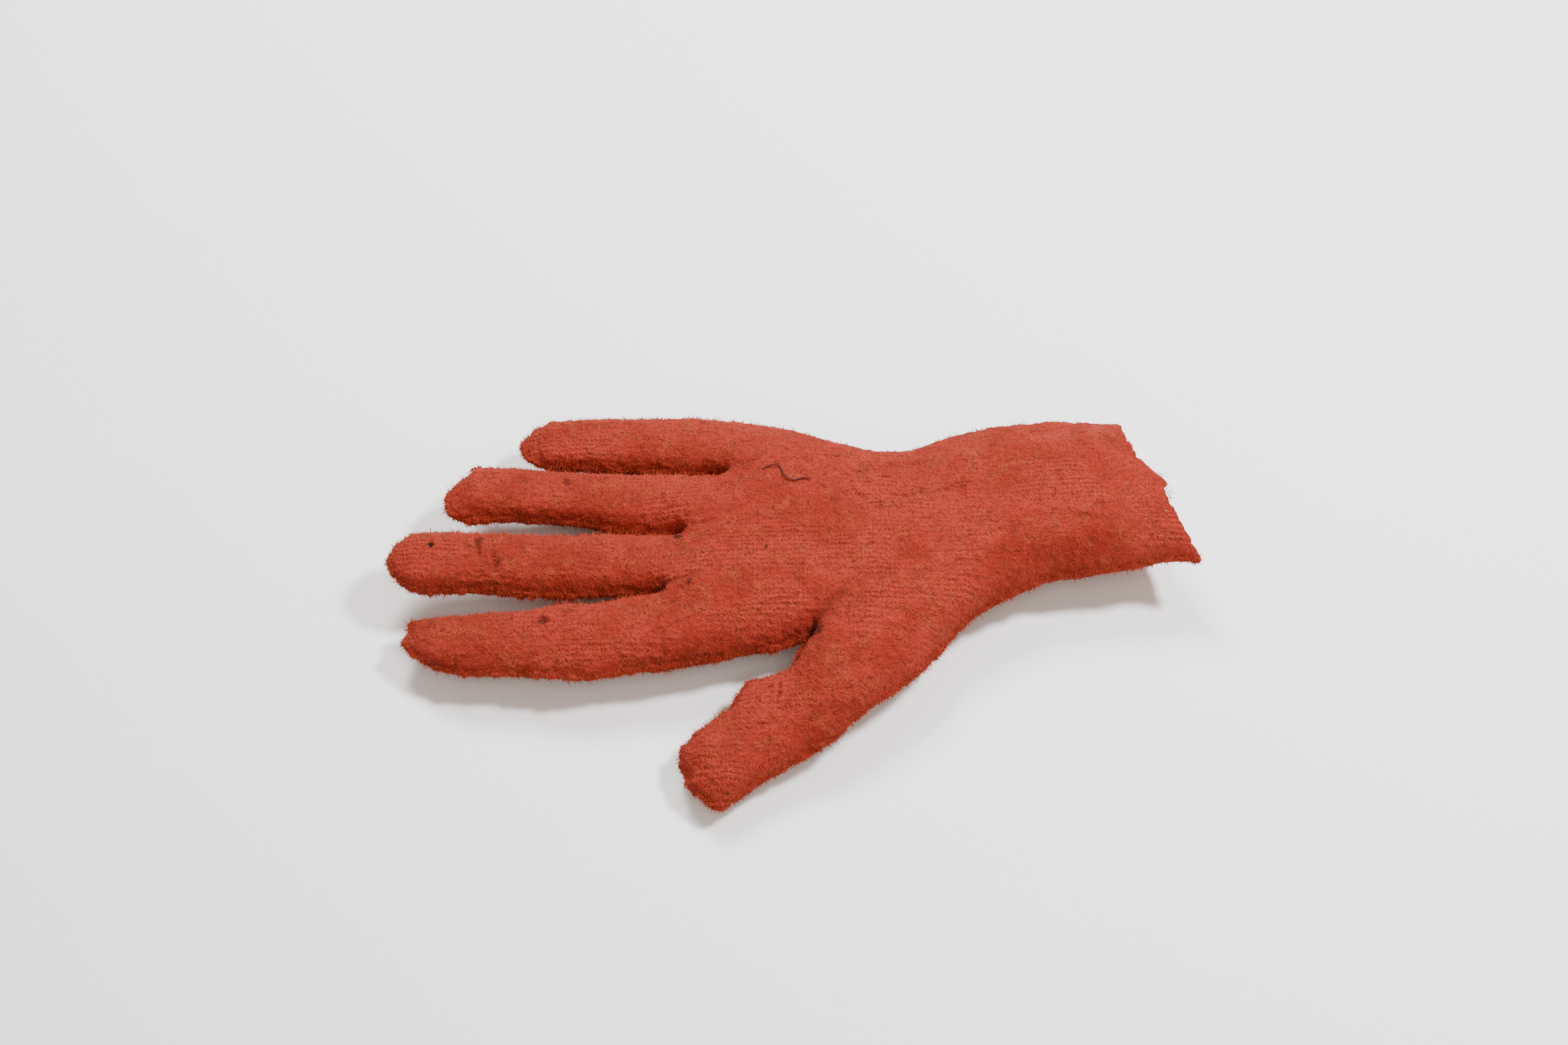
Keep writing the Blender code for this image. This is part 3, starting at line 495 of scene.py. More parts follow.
def surface_net(field):
    """The surface where a field is zero: a point in each crossed cell, at the mean of its edges' crossings.

    Each crossed edge of the grid joins the four cells round it into one quad that faces the positive side.
    """
    inside = field < 0
    owners, places, quads = [], [], []
    for axis in range(3):
        low, high = [slice(None)] * 3, [slice(None)] * 3
        low[axis], high[axis] = slice(0, -1), slice(1, None)
        crossed = np.argwhere(inside[tuple(low)] != inside[tuple(high)])
        step = np.eye(3, dtype=int)
        a = field[tuple(crossed.T)]
        b = field[tuple((crossed + step[axis]).T)]
        point = crossed + (a / (a - b))[:, None] * step[axis]
        second, third = step[(axis + 1) % 3], step[(axis + 2) % 3]
        cells = [crossed - second - third, crossed - third, crossed, crossed - second]
        ids = np.stack([np.ravel_multi_index(tuple(c.T), field.shape) for c in cells], 1)
        owners.append(ids.ravel())
        places.append(np.repeat(point, 4, 0))
        quads.append(np.where((a < 0)[:, None], ids, ids[:, ::-1]))
    owners, places, quads = (np.concatenate(part) for part in (owners, places, quads))
    names, index = np.unique(owners, return_inverse=True)
    count = np.bincount(index)
    points = np.stack([np.bincount(index, places[:, k]) / count for k in range(3)], 1)
    return points, np.searchsorted(names, quads)


def read_field(field, cells):
    """The field at points given in cells, from the eight grid values round each, mixed by distance."""
    base = np.clip(np.floor(cells).astype(int), 0, np.array(field.shape) - 2)
    t = cells - base
    total = np.zeros(len(cells))
    for corner in np.ndindex(*(2,) * field.ndim):
        total += np.prod(np.where(corner, t, 1 - t), axis=1) * field[tuple((base + corner).T)]
    return total


def uphill(field, cells):
    """The field's slope at points given in cells, from its change over one cell each way."""
    steps = np.eye(field.ndim) * 0.5
    return np.stack([read_field(field, cells + s) - read_field(field, cells - s) for s in steps], 1)


def point_normals(points, quads):
    """Each point's normal: the sum of the cross products of its quads' diagonals, made unit length."""
    corners = points[quads]
    face = np.cross(corners[:, 2] - corners[:, 0], corners[:, 3] - corners[:, 1])
    total = np.stack([np.bincount(quads.ravel(), face[:, k].repeat(4), len(points)) for k in range(3)], 1)
    return total / np.maximum(np.linalg.norm(total, axis=1, keepdims=True), 1e-12)


def even_out(points, quads, rounds):
    """Moves each point a third of the way to the mean of the four neighbours that its quads give it."""
    for _ in range(rounds):
        total = np.zeros_like(points)
        count = np.zeros(len(points))
        for turn in (1, 3):
            other = np.roll(quads, turn, 1)
            for k in range(3):
                total[:, k] += np.bincount(quads.ravel(), points[other.ravel(), k], len(points))
            count += np.bincount(quads.ravel(), minlength=len(points))
        points = points + (total / count[:, None] - points) / 3
    return points


solid, grid_low, seam_grid, inset_grid, thickness_grid = shape_field()
cover_points, cover_quads = surface_net(solid)
for _ in range(2):
    cover_points = even_out(cover_points, cover_quads, 1)
    slope = uphill(solid, cover_points)
    off = read_field(solid, cover_points) / np.maximum((slope**2).sum(1), 0.05)
    cover_points = cover_points - np.clip(off, -0.6, 0.6)[:, None] * slope
cover_points = grid_low + PITCH * cover_points

# The stuffed knit puckers and creases: long low lumps of wadding, fine crinkles that run along the wales, and
# a few sharp folds where a joint has bent. The folds and the crinkles' valleys get painted shade, and a few
# specks of dirt lie on top. Crinkles: middle, half sizes and strength.
CRINKLES = (
    ((-2, -4), (15, 9), 0.85), ((28, 2), (16, 13), 0.55), ((44, 32), (20, 16), 0.55),
    ((112, 19), (20, 9), 0.7), ((-42, 8), (10, 12), 0.45), ((-35, 33), (12, 12), 0.4),
    ((66, 50), (26, 10), 0.4), ((8, 44), (18, 14), 0.4), ((-90, 6), (12, 9), 0.35),
    ((-65, -18), (16, 8), 0.4),
)
# Folds: start, end, depth and half width.
FOLDS = (
    ((-100.5, 20.0), (-99.0, 10.0), 1.1, 0.7), ((-94.5, 14.0), (-94.0, 5.0), 0.9, 0.8),
    ((-104.0, 18.0), (-103.0, 13.0), 0.5, 0.6), ((-64.0, 21.0), (-63.0, 4.0), 0.35, 2.2),
    ((-79.0, -9.0), (-76.5, -13.0), 0.9, 0.9), ((-72.0, 43.0), (-70.0, 34.0), 0.35, 1.6),
    ((-4.2, -33.0), (-4.0, -38.5), 0.7, 0.5), ((6.0, -14.5), (19.0, -3.0), 0.8, 1.6),
    ((19.0, -3.0), (33.0, 5.0), 0.5, 2.2), ((-38.0, 0.5), (-28.0, 3.0), 0.6, 1.0),
    ((-32.5, 22.5), (-24.0, 23.0), 0.5, 1.0), ((-19.0, 46.0), (-9.0, 48.0), 0.5, 1.0),
    ((-37.0, 20.0), (-35.5, 8.0), 0.4, 1.4), ((18.0, 40.0), (48.0, 47.0), 0.55, 1.3),
    ((30.0, 30.0), (60.0, 36.0), 0.45, 1.2), ((84.0, 22.0), (126.0, 15.5), 0.35, 1.1),
    ((90.0, 27.0), (122.0, 22.0), 0.3, 1.2), ((100.0, 53.0), (112.0, 44.0), 0.5, 1.4),
)
# Specks: place, radius and darkness.
SPECKS = (
    ((-114.0, 14.0), 1.0, 1.0), ((-8.0, 12.0), 0.8, 0.8), ((-78.0, -11.5), 1.6, 0.75),
    ((-36.5, 19.5), 1.3, 0.9), ((-41.0, 0.0), 1.8, 0.8), ((-48.0, 0.5), 1.4, 0.6),
    ((7.5, -15.5), 2.2, 0.7), ((-6.0, -34.0), 0.7, 0.7), ((-99.0, 17.5), 1.6, 0.6),
    ((-92.0, 9.0), 1.3, 0.55), ((-29.0, 66.0), 0.8, 0.8), ((66.0, 52.0), 0.6, 0.5),
    ((-72.5, 41.0), 1.3, 0.55), ((-60.0, 43.0), 0.9, 0.4), ((-32.0, 0.0), 1.2, 0.6),
    ((13.0, 30.0), 0.7, 0.5),
)


def along_fold(points, start, end):
    """Distance in plan from a straight fold, and the share 1 - (2t - 1)^4 that fades it out at its ends."""
    start, end = np.array(start, float), np.array(end, float)
    run = end - start
    t = np.clip(((points[:, :2] - start) @ run) / (run @ run), 0, 1)
    away = np.linalg.norm(points[:, :2] - start - t[:, None] * run, axis=1)
    return away, 1 - (2 * t - 1) ** 4 * 0.9


def relief(points, normals):
    """How far each point stands out, and how much painted shade lies in its folds and crinkle valleys.

    Lumps are four sizes of noise. Crinkles are ridged noise, 1 - 2|n|, drawn out along X, inside soft ovals.
    Knots are the tops of two fine noises. A fold is a groove -depth * exp(-(distance / width)^2) with a low
    welt each side.
    """
    lumps = 0.55 * random_lattice(points, 17.0, 11) + 0.28 * random_lattice(points, 7.0, 12)
    lumps += 0.17 * random_lattice(points, 3.1, 13) + 0.09 * random_lattice(points, 1.7, 14)
    ridges = 1 - np.abs(random_lattice(points, (7.0, 2.4, 5.0), 15)) * 2
    ridges += 0.6 * (1 - np.abs(random_lattice(points, (3.4, 1.5, 3.0), 16)) * 2)
    strength = np.full(len(points), 0.06)
    for centre, size, height in CRINKLES:
        oval = (((points[:, :2] - centre) / size) ** 2).sum(1)
        strength += 0.5 * height * np.exp(-oval)
    knots = np.clip(random_lattice(points, (1.5, 1.2, 1.2), 19) - 0.05, 0, 1)
    knots += 0.7 * np.clip(random_lattice(points, 0.8, 20) - 0.05, 0, 1)
    out = lumps + strength * ridges * 0.55 + 0.42 * knots
    # Painted shade: darker in the crinkles' valleys, most where the crinkles are strong.
    painted_shade = np.clip(-ridges * 0.7 - 0.35, 0, 1) * np.clip(strength * 2.2, 0.2, 1)
    wander = np.stack([random_lattice(points, 4.0, 17), random_lattice(points, 4.0, 18)], 1) * 0.9
    upper = np.clip(normals[:, 2] * 3 + 0.5, 0, 1)
    moved = points[:, :2] + wander
    for start, end, depth, width in FOLDS:
        away, fade = along_fold(moved, start, end)
        groove = np.exp(-((away / width) ** 2))
        welt = np.exp(-(((away - 2.2 * width) / width) ** 2))
        out -= upper * fade * depth * (groove - 0.3 * welt)
        # Painted shade: darker along each fold's groove on the upper side.
        painted_shade = np.maximum(painted_shade, upper * fade * groove * min(1.0, depth * 0.9))
    return out, painted_shade


def speckle(points, normals):
    """Darkness of the specks: 1 inside each radius, falling off over a third of it."""
    found = np.zeros(len(points))
    for place, radius, darkness in SPECKS:
        jitter = 0.35 * radius * random_lattice(points, 0.9, 21)
        away = np.linalg.norm(points[:, :2] - place, axis=1) + jitter
        found = np.maximum(found, darkness * np.clip((radius * 1.15 - away) / (0.4 * radius), 0, 1))
    return found * (normals[:, 2] > 0)


rest_points = cover_points.copy()
cover_normals = point_normals(cover_points, cover_quads)
plan_cells = (cover_points[:, :2] - grid_low[:2]) / PITCH
seam_at = read_field(seam_grid, plan_cells)
inset_at = read_field(inset_grid, plan_cells)
stand_out, painted_fold_shade = relief(cover_points, cover_normals)
inner_wall = np.clip((cover_points[:, 0] - HOLLOW_BEGINS) / 4.0, 0, 1)
calm = 1 - 0.6 * inner_wall
lying = np.clip(cover_points[:, 2] / 2.5, 0, 1)
cover_points = cover_points + cover_normals * (stand_out * calm * lying)[:, None]
cover_points[:, 2] = np.maximum(cover_points[:, 2], 0.12)
cover_normals = point_normals(cover_points, cover_quads)
near_seam = np.exp(-((np.abs(rest_points[:, 2] - seam_at) / 1.3) ** 2))
near_seam *= np.exp(-((np.maximum(inset_at, 0) / 2.0) ** 2))
speck_dark = speckle(cover_points, cover_normals)

# The knit's dye and pile. Vegetable red over a paler cotton: rosy where it has rubbed, orange where the pile
# stands, with random brown patches. The same brown is also painted shade in the folds, in the low pits of the
# pile and in the grooves between the wales. Wales run along the hand, with finer courses across, half hidden
# by the felt.
WALE_PITCH, COURSE_PITCH = 1.75, 1.3
ROSE, BRICK = (0.312, 0.0265, 0.0165, 1.0), (0.238, 0.0175, 0.0095, 1.0)
RUST, RUBBED = (0.300, 0.038, 0.017, 1.0), (0.49, 0.074, 0.033, 1.0)
# SHADE_AND_MOTTLE_BROWN is both the brown of random patches and the painted shade in folds, pile pits and
# wale grooves.
SHADE_AND_MOTTLE_BROWN, SOOT = (0.125, 0.0165, 0.0085, 1.0), (0.012, 0.006, 0.004, 1.0)


def math_node(tree, operation, *values, clamp=False):
    """A Math node. Each of its inputs is a number or the output of another node."""
    made = add_node(tree, "ShaderNodeMath", operation=operation, use_clamp=clamp)
    for socket, value in zip(made.inputs, values):
        if isinstance(value, (int, float)):
            socket.default_value = value
        else:
            tree.links.new(value, socket)
    return made.outputs[0]


def dyed_knit_group():
    """A node group from a place in millimetres to the knit's colour, height and roughness.

    Wales are 0.5 + 0.5 sin(2 pi y / pitch) and courses the same along x, both pushed about by noise. Felt
    hides them by patches. The colour goes from rose to brick by broad noise, to rust and brown by finer
    noise, and to painted shade in brown where the pile is low and in the grooves between the wales. The
    height adds the pile's noise to the wales and courses.
    """
    tree = bpy.data.node_groups.new("dyed_knit", "ShaderNodeTree")
    for name, way, kind in (("Place", "INPUT", "Vector"), ("Wale Pitch", "INPUT", "Float"),
                            ("Colour", "OUTPUT", "Color"), ("Height", "OUTPUT", "Float"),
                            ("Roughness", "OUTPUT", "Float")):
        tree.interface.new_socket(name, in_out=way, socket_type=f"NodeSocket{kind}")
    given = tree.nodes.new("NodeGroupInput")
    place, pitch = given.outputs["Place"], given.outputs["Wale Pitch"]

    def times(a, b):
        return math_node(tree, "MULTIPLY", a, b)

    def plus(a, b):
        return math_node(tree, "ADD", a, b)

    def noise(scale, detail, distortion=0.0):
        return noise_node(tree, place, scale, detail, distortion)

    def wave(turn):
        return math_node(tree, "MULTIPLY_ADD", math_node(tree, "SINE", turn), 0.5, 0.5)

    split = tree.nodes.new("ShaderNodeSeparateXYZ")
    tree.links.new(place, split.inputs[0])
    sway = times(math_node(tree, "SUBTRACT", noise(0.05, 2.0), 0.5), 4.0)
    jog = times(math_node(tree, "SUBTRACT", noise(0.6, 1.0), 0.5), 1.1)
    across = plus(plus(split.outputs["Y"], sway), jog)
    wale = wave(math_node(tree, "DIVIDE", times(across, 2 * math.pi), pitch))
    along = plus(split.outputs["X"], times(wale, 0.5))
    course = wave(times(plus(along, jog), 2 * math.pi / COURSE_PITCH))
    felt = span(tree, noise(0.05, 3.0), 0.40, 0.56)
    bare = math_node(tree, "SUBTRACT", 1.0, times(felt, 0.85))
    pile, fine = noise(1.25, 6.0, 0.8), noise(3.6, 4.0, 0.4)
    broad, patch, cloud = noise(0.05, 3.0, 0.5), noise(0.16, 4.0, 0.6), noise(0.32, 5.0, 0.4)
    # Painted shade: brown where the pile's bump is low, in its pits.
    pit_shade = times(span(tree, pile, 0.50, 0.38), span(tree, patch, 0.36, 0.60, 0.45, 0.95))
    colour = blend_colour(tree, span(tree, broad, 0.42, 0.60), ROSE, BRICK)
    for share, dye in (
        (span(tree, patch, 0.52, 0.64, 0.0, 0.8), RUST),
        (span(tree, cloud, 0.52, 0.70, 0.0, 0.55), SHADE_AND_MOTTLE_BROWN),
        (pit_shade, SHADE_AND_MOTTLE_BROWN),
        (times(span(tree, fine, 0.55, 0.72), 0.45), RUBBED),
        # Painted shade: brown in the grooves between the wales, where the felt leaves them bare.
        (times(times(span(tree, wale, 0.35, 0.0), bare), 0.18), SHADE_AND_MOTTLE_BROWN),
    ):
        colour = blend_colour(tree, share, colour, dye)
    height = plus(times(times(wale, bare), 0.44), times(times(course, bare), 0.22))
    height = plus(plus(height, times(pile, 1.5)), times(fine, 0.6))
    put = tree.nodes.new("NodeGroupOutput")
    tree.links.new(colour, put.inputs["Colour"])
    tree.links.new(height, put.inputs["Height"])
    tree.links.new(span(tree, pile, 0.3, 0.7, 0.98, 0.82), put.inputs["Roughness"])
    return tree


def attribute_value(tree, name, output="Fac"):
    return add_node(tree, "ShaderNodeAttribute", attribute_name=name).outputs[output]


def lay_knit(tree):
    """The dyed knit's group in a material, read at the cloth's own place."""
    knit = add_node(tree, "ShaderNodeGroup", node_tree=dyed_knit)
    knit.inputs["Wale Pitch"].default_value = WALE_PITCH
    tree.links.new(attribute_value(tree, "cloth_place", "Vector"), knit.inputs["Place"])
    return knit


def knit_material():
    """The cover's cloth: the dyed knit, with painted shade in the folds and crinkle valleys, more orange
    along the seam, with specks.
    """
    material, tree, shader = new_material("red_knit")
    knit = lay_knit(tree)
    # Painted shade in the folds and crinkle valleys, read from the fold attribute.
    fold = math_node(tree, "MULTIPLY", attribute_value(tree, "fold"), 0.8, clamp=True)
    colour = blend_colour(tree, fold, knit.outputs["Colour"], SHADE_AND_MOTTLE_BROWN)
    edge = math_node(tree, "MULTIPLY", attribute_value(tree, "seam"), 0.3)
    colour = blend_colour(tree, edge, colour, RUST)
    colour = blend_colour(tree, attribute_value(tree, "speck"), colour, SOOT)
    raise_surface(tree, shader, knit.outputs["Height"], 1.0, 0.0006)
    tree.links.new(colour, shader.inputs["Base Color"])
    tree.links.new(knit.outputs["Roughness"], shader.inputs["Roughness"])
    shader.inputs["Specular IOR Level"].default_value = 0.12
    shader.inputs["Sheen Weight"].default_value = 0.04
    shader.inputs["Sheen Roughness"].default_value = 0.5
    shader.inputs["Sheen Tint"].default_value = (1.0, 0.35, 0.25, 1.0)
    return material


dyed_knit = dyed_knit_group()
knit_cloth = knit_material()

# The cover is one sewn skin, but each stretch of it that bends with a joint is its own piece. Stretches
# meet on lines across a digit where the cloth follows one lath only, so they never part, and they share
# their normals there. The crook is where the thumb leaves the index finger.
CROOK = np.array((10.0, -14.6)) + OUTLINE_SHIFT
CROOK_ACROSS = np.array((-0.55, 0.84))
BEND = 8.0


def along(points, name, towards):
    """Distance in plan past a hinge, along the line to the next one."""
    start, end = (np.asarray(p)[:2] for p in (hinge[name], towards))
    heading = (end - start) / np.linalg.norm(end - start)
    return (points[:, :2] - start) @ heading


def skin_stretches(middles):
    """Numbers each quad's stretch of skin by its middle, and lists each stretch's name, bodies and bend.

    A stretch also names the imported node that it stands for. A digit's quads are those nearest to its line,
    past its first hinge, and they change stretch halfway between two hinges.
    """
    owner = np.full(len(middles), 0)
    stretches = [("palm_skin", ("palm",), None, "palm_cover"), ("back_skin", ("palm",), None, "back_cover")]
    cells = (middles[:, :2] - grid_low[:2]) / PITCH
    owner[middles[:, 2] < read_field(seam_grid, cells)] = 1
    lines = {name: digit_line(name) for name in FINGERS}
    sideways = np.stack([np.abs(middles[:, 1] - np.interp(-middles[:, 0], -line[:, 0], line[:, 1]))
                         for line in lines.values()])
    nearest = sideways.argmin(0)
    thumb_side = (middles[:, :2] - CROOK) @ CROOK_ACROSS < 0
    for number, name in enumerate(FINGERS):
        line = lines[name]
        past_knuckle = along(middles, f"{name}_knuckle_hinge", line[1])
        past_middle = along(middles, f"{name}_middle_hinge", line[2])
        past_tip = along(middles, f"{name}_tip_hinge", line[3])
        mine = (nearest == number) & ~thumb_side & (past_knuckle > -2.0)
        first, second = (np.linalg.norm(line[k + 1] - line[k]) / 2 for k in (0, 1))
        parts = (
            ("knuckle", past_middle <= -first, -2.0, BEND + 1, "palm", "proximal"),
            ("middle", (past_middle > -first) & (past_tip <= -second), -BEND, BEND, "proximal", "middle"),
            ("tip", past_tip > -second, -BEND, BEND, "middle", "distal"),
        )
        for k, (part, quads, back, ahead, before, after) in enumerate(parts):
            heading = (line[k + 1] - line[k]) / np.linalg.norm(line[k + 1] - line[k])
            owner[mine & quads] = len(stretches)
            bodies = tuple("palm" if body == "palm" else f"{name}_{body}" for body in (before, after))
            bend = (line[k] + heading * back, line[k] + heading * ahead)
            stretches.append((f"{name}_{part}_skin", bodies, bend, f"{name}_{after}_cover"))
    line = digit_line("thumb")
    past_swing = along(middles, "thumb_swing", line[1])
    past_tip = along(middles, "thumb_tip_hinge", line[3])
    mine = thumb_side & (past_swing > 1.4)
    half = np.linalg.norm(line[2] - line[1]) / 2
    parts = (
        ("base", past_swing <= 7.6, 1.4, 7.4, ("palm", "thumb_base"), None),
        ("knuckle", (past_swing > 7.6) & (past_tip <= -half), -2.2, 7.4, ("thumb_base", "thumb_proximal"),
         "thumb_proximal_cover"),
        ("tip", past_tip > -half, -7.4, BEND, ("thumb_proximal", "thumb_distal"), "thumb_distal_cover"),
    )
    for k, (part, quads, back, ahead, bodies, node) in enumerate(parts):
        heading = (line[k + 1] - line[k]) / np.linalg.norm(line[k + 1] - line[k])
        owner[mine & quads] = len(stretches)
        bend = (line[k] + heading * back, line[k] + heading * ahead)
        stretches.append((f"thumb_{part}_skin", bodies, bend, node))
    return owner, stretches


def mesh_object(name, points, faces, material, normals=None, attributes=None):
    """An object from arrays of points in millimetres and of faces with the same number of corners."""
    mesh = bpy.data.meshes.new(name)
    sides = faces.shape[1]
    mesh.vertices.add(len(points))
    mesh.vertices.foreach_set("co", (points * MM).astype(np.float32).ravel())
    mesh.loops.add(faces.size)
    mesh.loops.foreach_set("vertex_index", faces.astype(np.int32).ravel())
    mesh.polygons.add(len(faces))
    mesh.polygons.foreach_set("loop_start", np.arange(0, faces.size, sides, dtype=np.int32))
    mesh.update(calc_edges=True)
    mesh.validate()
    for key, values in (attributes or {}).items():
        kind, field = ("FLOAT_VECTOR", "vector") if values.ndim == 2 else ("FLOAT", "value")
        layer = mesh.attributes.new(key, kind, "POINT")
        layer.data.foreach_set(field, values.astype(np.float32).ravel())
    mesh.materials.append(material)
    mesh.shade_smooth()
    if normals is not None:
        mesh.normals_split_custom_set_from_vertices(normals.tolist())
    return add_object(name, mesh)


def follow(piece, bodies, bend):
    """The piece rides on its first body when it has no bend; a piece with a bend only has its transform baked
    into its points.
    """
    if bend is None:
        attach(piece, bodies[0])
    else:
        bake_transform(piece)


quad_owner, stretches = skin_stretches(cover_points[cover_quads].mean(1))
for number, (skin_name, bodies, bend, node) in enumerate(stretches):
    quads = cover_quads[quad_owner == number]
    used, local = np.unique(quads, return_inverse=True)
    skin = mesh_object(
        skin_name, cover_points[used], local.reshape(-1, 4), knit_cloth, cover_normals[used],
        # The fold attribute is painted shade for the folds and crinkle valleys.
        {"cloth_place": rest_points[used], "fold": painted_fold_shade[used], "seam": near_seam[used],
         "speck": speck_dark[used]},
    )
    follow(skin, bodies, bend)
    if node:
        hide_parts(node)

# The pads of wadding in front of and behind the palm board: flat against the wood, lumpy and crowned
# towards the cover, which they never touch. They are undyed cotton waste.
PAD_INNER, PAD_OUTER = 6.4, 10.4  # how far its flat side and its crown are from the board's middle
PAD_CLEARANCE = 2.2
COTTON_LIGHT, COTTON_DARK = (0.62, 0.56, 0.45, 1.0), (0.40, 0.33, 0.24, 1.0)
# COTTON_GAP_SHADE is the colour of painted shade between the strands.
COTTON_GAP_SHADE = (0.22, 0.16, 0.10, 1.0)


def wadding_material():
    """Pale grey-brown cotton, mottled by noise, with painted shade in the gaps where the fibrous bump is low,
    and a fibrous bump.
    """
    material, tree, shader = new_material("cotton_wadding")
    place = object_place(tree)
    strands = noise_node(tree, place, 900.0, 5.0, 2.0)
    colour = blend_colour(tree, noise_node(tree, place, 140.0, 5.0), COTTON_LIGHT, COTTON_DARK)
    # Painted shade: darker where the strands' bump is low.
    colour = blend_colour(tree, span(tree, strands, 0.35, 0.5, 0.5, 0.0), colour, COTTON_GAP_SHADE)
    tree.links.new(colour, shader.inputs["Base Color"])
    shader.inputs["Roughness"].default_value = 1.0
    raise_surface(tree, shader, strands, 1.0, 0.0008)
    return material


def pad_mesh(name, side):
    """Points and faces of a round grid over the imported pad's box, squeezed into a rounded rectangle.

    Its top and its flat bottom share a rim. The top is the lower of the pad's own crown, sqrt(1 - r^4) with
    lumps of noise, and a level inside the cover. The faces at the two middles are triangles.
    """
    low, high = (np.array(corner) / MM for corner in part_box(name))
    rings, spokes = 40, 160
    r = np.linspace(0, 1, rings)[:, None]
    angle = np.linspace(0, 2 * math.pi, spokes, endpoint=False)[None, :]
    middle, half = (low + high) / 2, (high - low) / 2
    squeeze = (np.abs(np.cos(angle)) ** 3 + np.abs(np.sin(angle)) ** 3) ** (-1 / 3)
    x = middle[0] + 0.86 * half[0] * r * squeeze * np.cos(angle) + 3.0
    y = middle[1] + 0.80 * half[1] * r * squeeze * np.sin(angle) + 5.0
    crown = PAD_INNER + (PAD_OUTER - PAD_INNER) * np.sqrt(np.clip(1 - r**4, 0, 1)) + 0 * angle
    plan = np.stack([x.ravel(), y.ravel()], 1)
    flat = np.column_stack([plan, np.zeros(len(plan))])
    lump = 0.5 * random_lattice(flat, 4.0, 31).reshape(x.shape) * (1 - r**6)
    room = read_field(thickness_grid, (plan - grid_low[:2]) / PITCH).reshape(x.shape) - PAD_CLEARANCE
    top = np.maximum(np.minimum(crown + lump, room), PAD_INNER + 0.02 * (1 - r))
    height = np.stack([np.full(x.shape, PAD_INNER), top])
    height[:, -1] = PAD_INNER
    points = np.stack([np.stack([x, x]), np.stack([y, y]), PALM_HEIGHT + side * height], -1)
    index = np.arange(2 * rings * spokes).reshape(2, rings, spokes)
    index[1, -1] = index[0, -1]
    index[:, 0, :] = index[:, 0, :1]
    after = np.roll(index, -1, 2)
    quads = np.stack([index[:, :-1], index[:, 1:], after[:, 1:], after[:, :-1]], -1)
    lower, upper = quads[0].reshape(-1, 4), quads[1].reshape(-1, 4)
    faces = np.concatenate([lower[:, ::-1], upper] if side > 0 else [lower, upper[:, ::-1]])
    used, faces = np.unique(faces, return_inverse=True)
    faces = [tuple(dict.fromkeys(face)) for face in faces.reshape(-1, 4).tolist()]
    return points.reshape(-1, 3)[used], faces


def lay_pad(name, side):
    """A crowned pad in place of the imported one, on the palm's side of the board or behind it."""
    points, faces = pad_mesh(name, side)
    mesh = bpy.data.meshes.new(f"{name}_crowned")
    mesh.from_pydata((points * MM).tolist(), [], faces)
    mesh.materials.append(wadding)
    mesh.shade_smooth()
    pad = add_object(f"{name}_crowned", mesh)
    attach(pad, "palm")
    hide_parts(name)


wadding = wadding_material()
lay_pad("palm_pad", 1)
lay_pad("back_pad", -1)

# The wadding wound round the wrist block: a band of the same cotton, laid on by hand, so that its wall is
# uneven and its two edges are rounded. It stays between the block and the cover.
BAND_HALF_WIDTH, BAND_HALF_THICK = 22.3, 8.8  # inside the band
BAND_HALF_LENGTH, BAND_WALL = 21.5, 1.25
BAND_STEPS = (220, 64)  # round the block, and round the wall's section


def wadding_band():
    """A ring of wall round the wrist: u runs round the block, v round the section of the wall.

    Round the block it is a rounded rectangle, |cos u|^0.6 by |sin u|^0.6. Its wall is a flat oval,
    |cos v|^0.4 along the wrist by |sin v|^0.6 across, and lumps of noise thin its outer side.
    """
    def power(wave, exponent):
        return np.sign(wave) * np.abs(wave) ** exponent

    middle, end = (np.mean(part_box(node), axis=0) / MM for node in ("wrist_block", "wrist_plate"))
    heading, across, lift = axes_along(middle, end)
    u, v = (np.linspace(0, 2 * math.pi, steps, endpoint=False) for steps in BAND_STEPS)
    u, v = np.meshgrid(u, v, indexing="ij")
    run = BAND_HALF_LENGTH * power(np.cos(v), 0.4)
    where = np.stack([np.cos(u) * 22.0, np.sin(u) * 22.0, run], -1).reshape(-1, 3)
    lumps = 0.28 * random_lattice(where, 3.0, 33) + 0.14 * random_lattice(where, 1.1, 34) + 0.3
    wall = BAND_WALL * (0.5 + 0.5 * power(np.sin(v), 0.6))
    wall -= np.maximum(np.sin(v), 0) ** 0.5 * np.clip(lumps, 0, 0.75).reshape(BAND_STEPS)
    y = power(np.cos(u), 0.6) * (BAND_HALF_WIDTH + wall)
    z = power(np.sin(u), 0.6) * (BAND_HALF_THICK + wall)
    points = middle + run[..., None] * heading + y[..., None] * across + z[..., None] * lift
    index = np.arange(u.size).reshape(BAND_STEPS)
    round_block, round_wall = np.roll(index, -1, 0), np.roll(index, -1, 1)
    quads = np.stack([index, round_wall, np.roll(round_block, -1, 1), round_block], -1)
    return points.reshape(-1, 3), quads.reshape(-1, 4)


band = mesh_object("wrist_wadding_wound", *wadding_band(), wadding)
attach(band, "palm")
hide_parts("wrist_wadding")

# The pile: short broken fibres that stand off the cloth, thickest and longest along the raw edges of the
# seam. Each is a three-sided spike bent once, so that a patch of hundreds stays light.
EDGE_FIBRES, FACE_FIBRES = 30000, 40000
SHORTEST_FIBRE, LONGEST_FIBRE = 0.25, 2.8
FIBRE_TIP = (0.50, 0.070, 0.022, 1.0)
BARE_CROOK = 9.0  # radius round the crook with no pile, where the cloth rubs


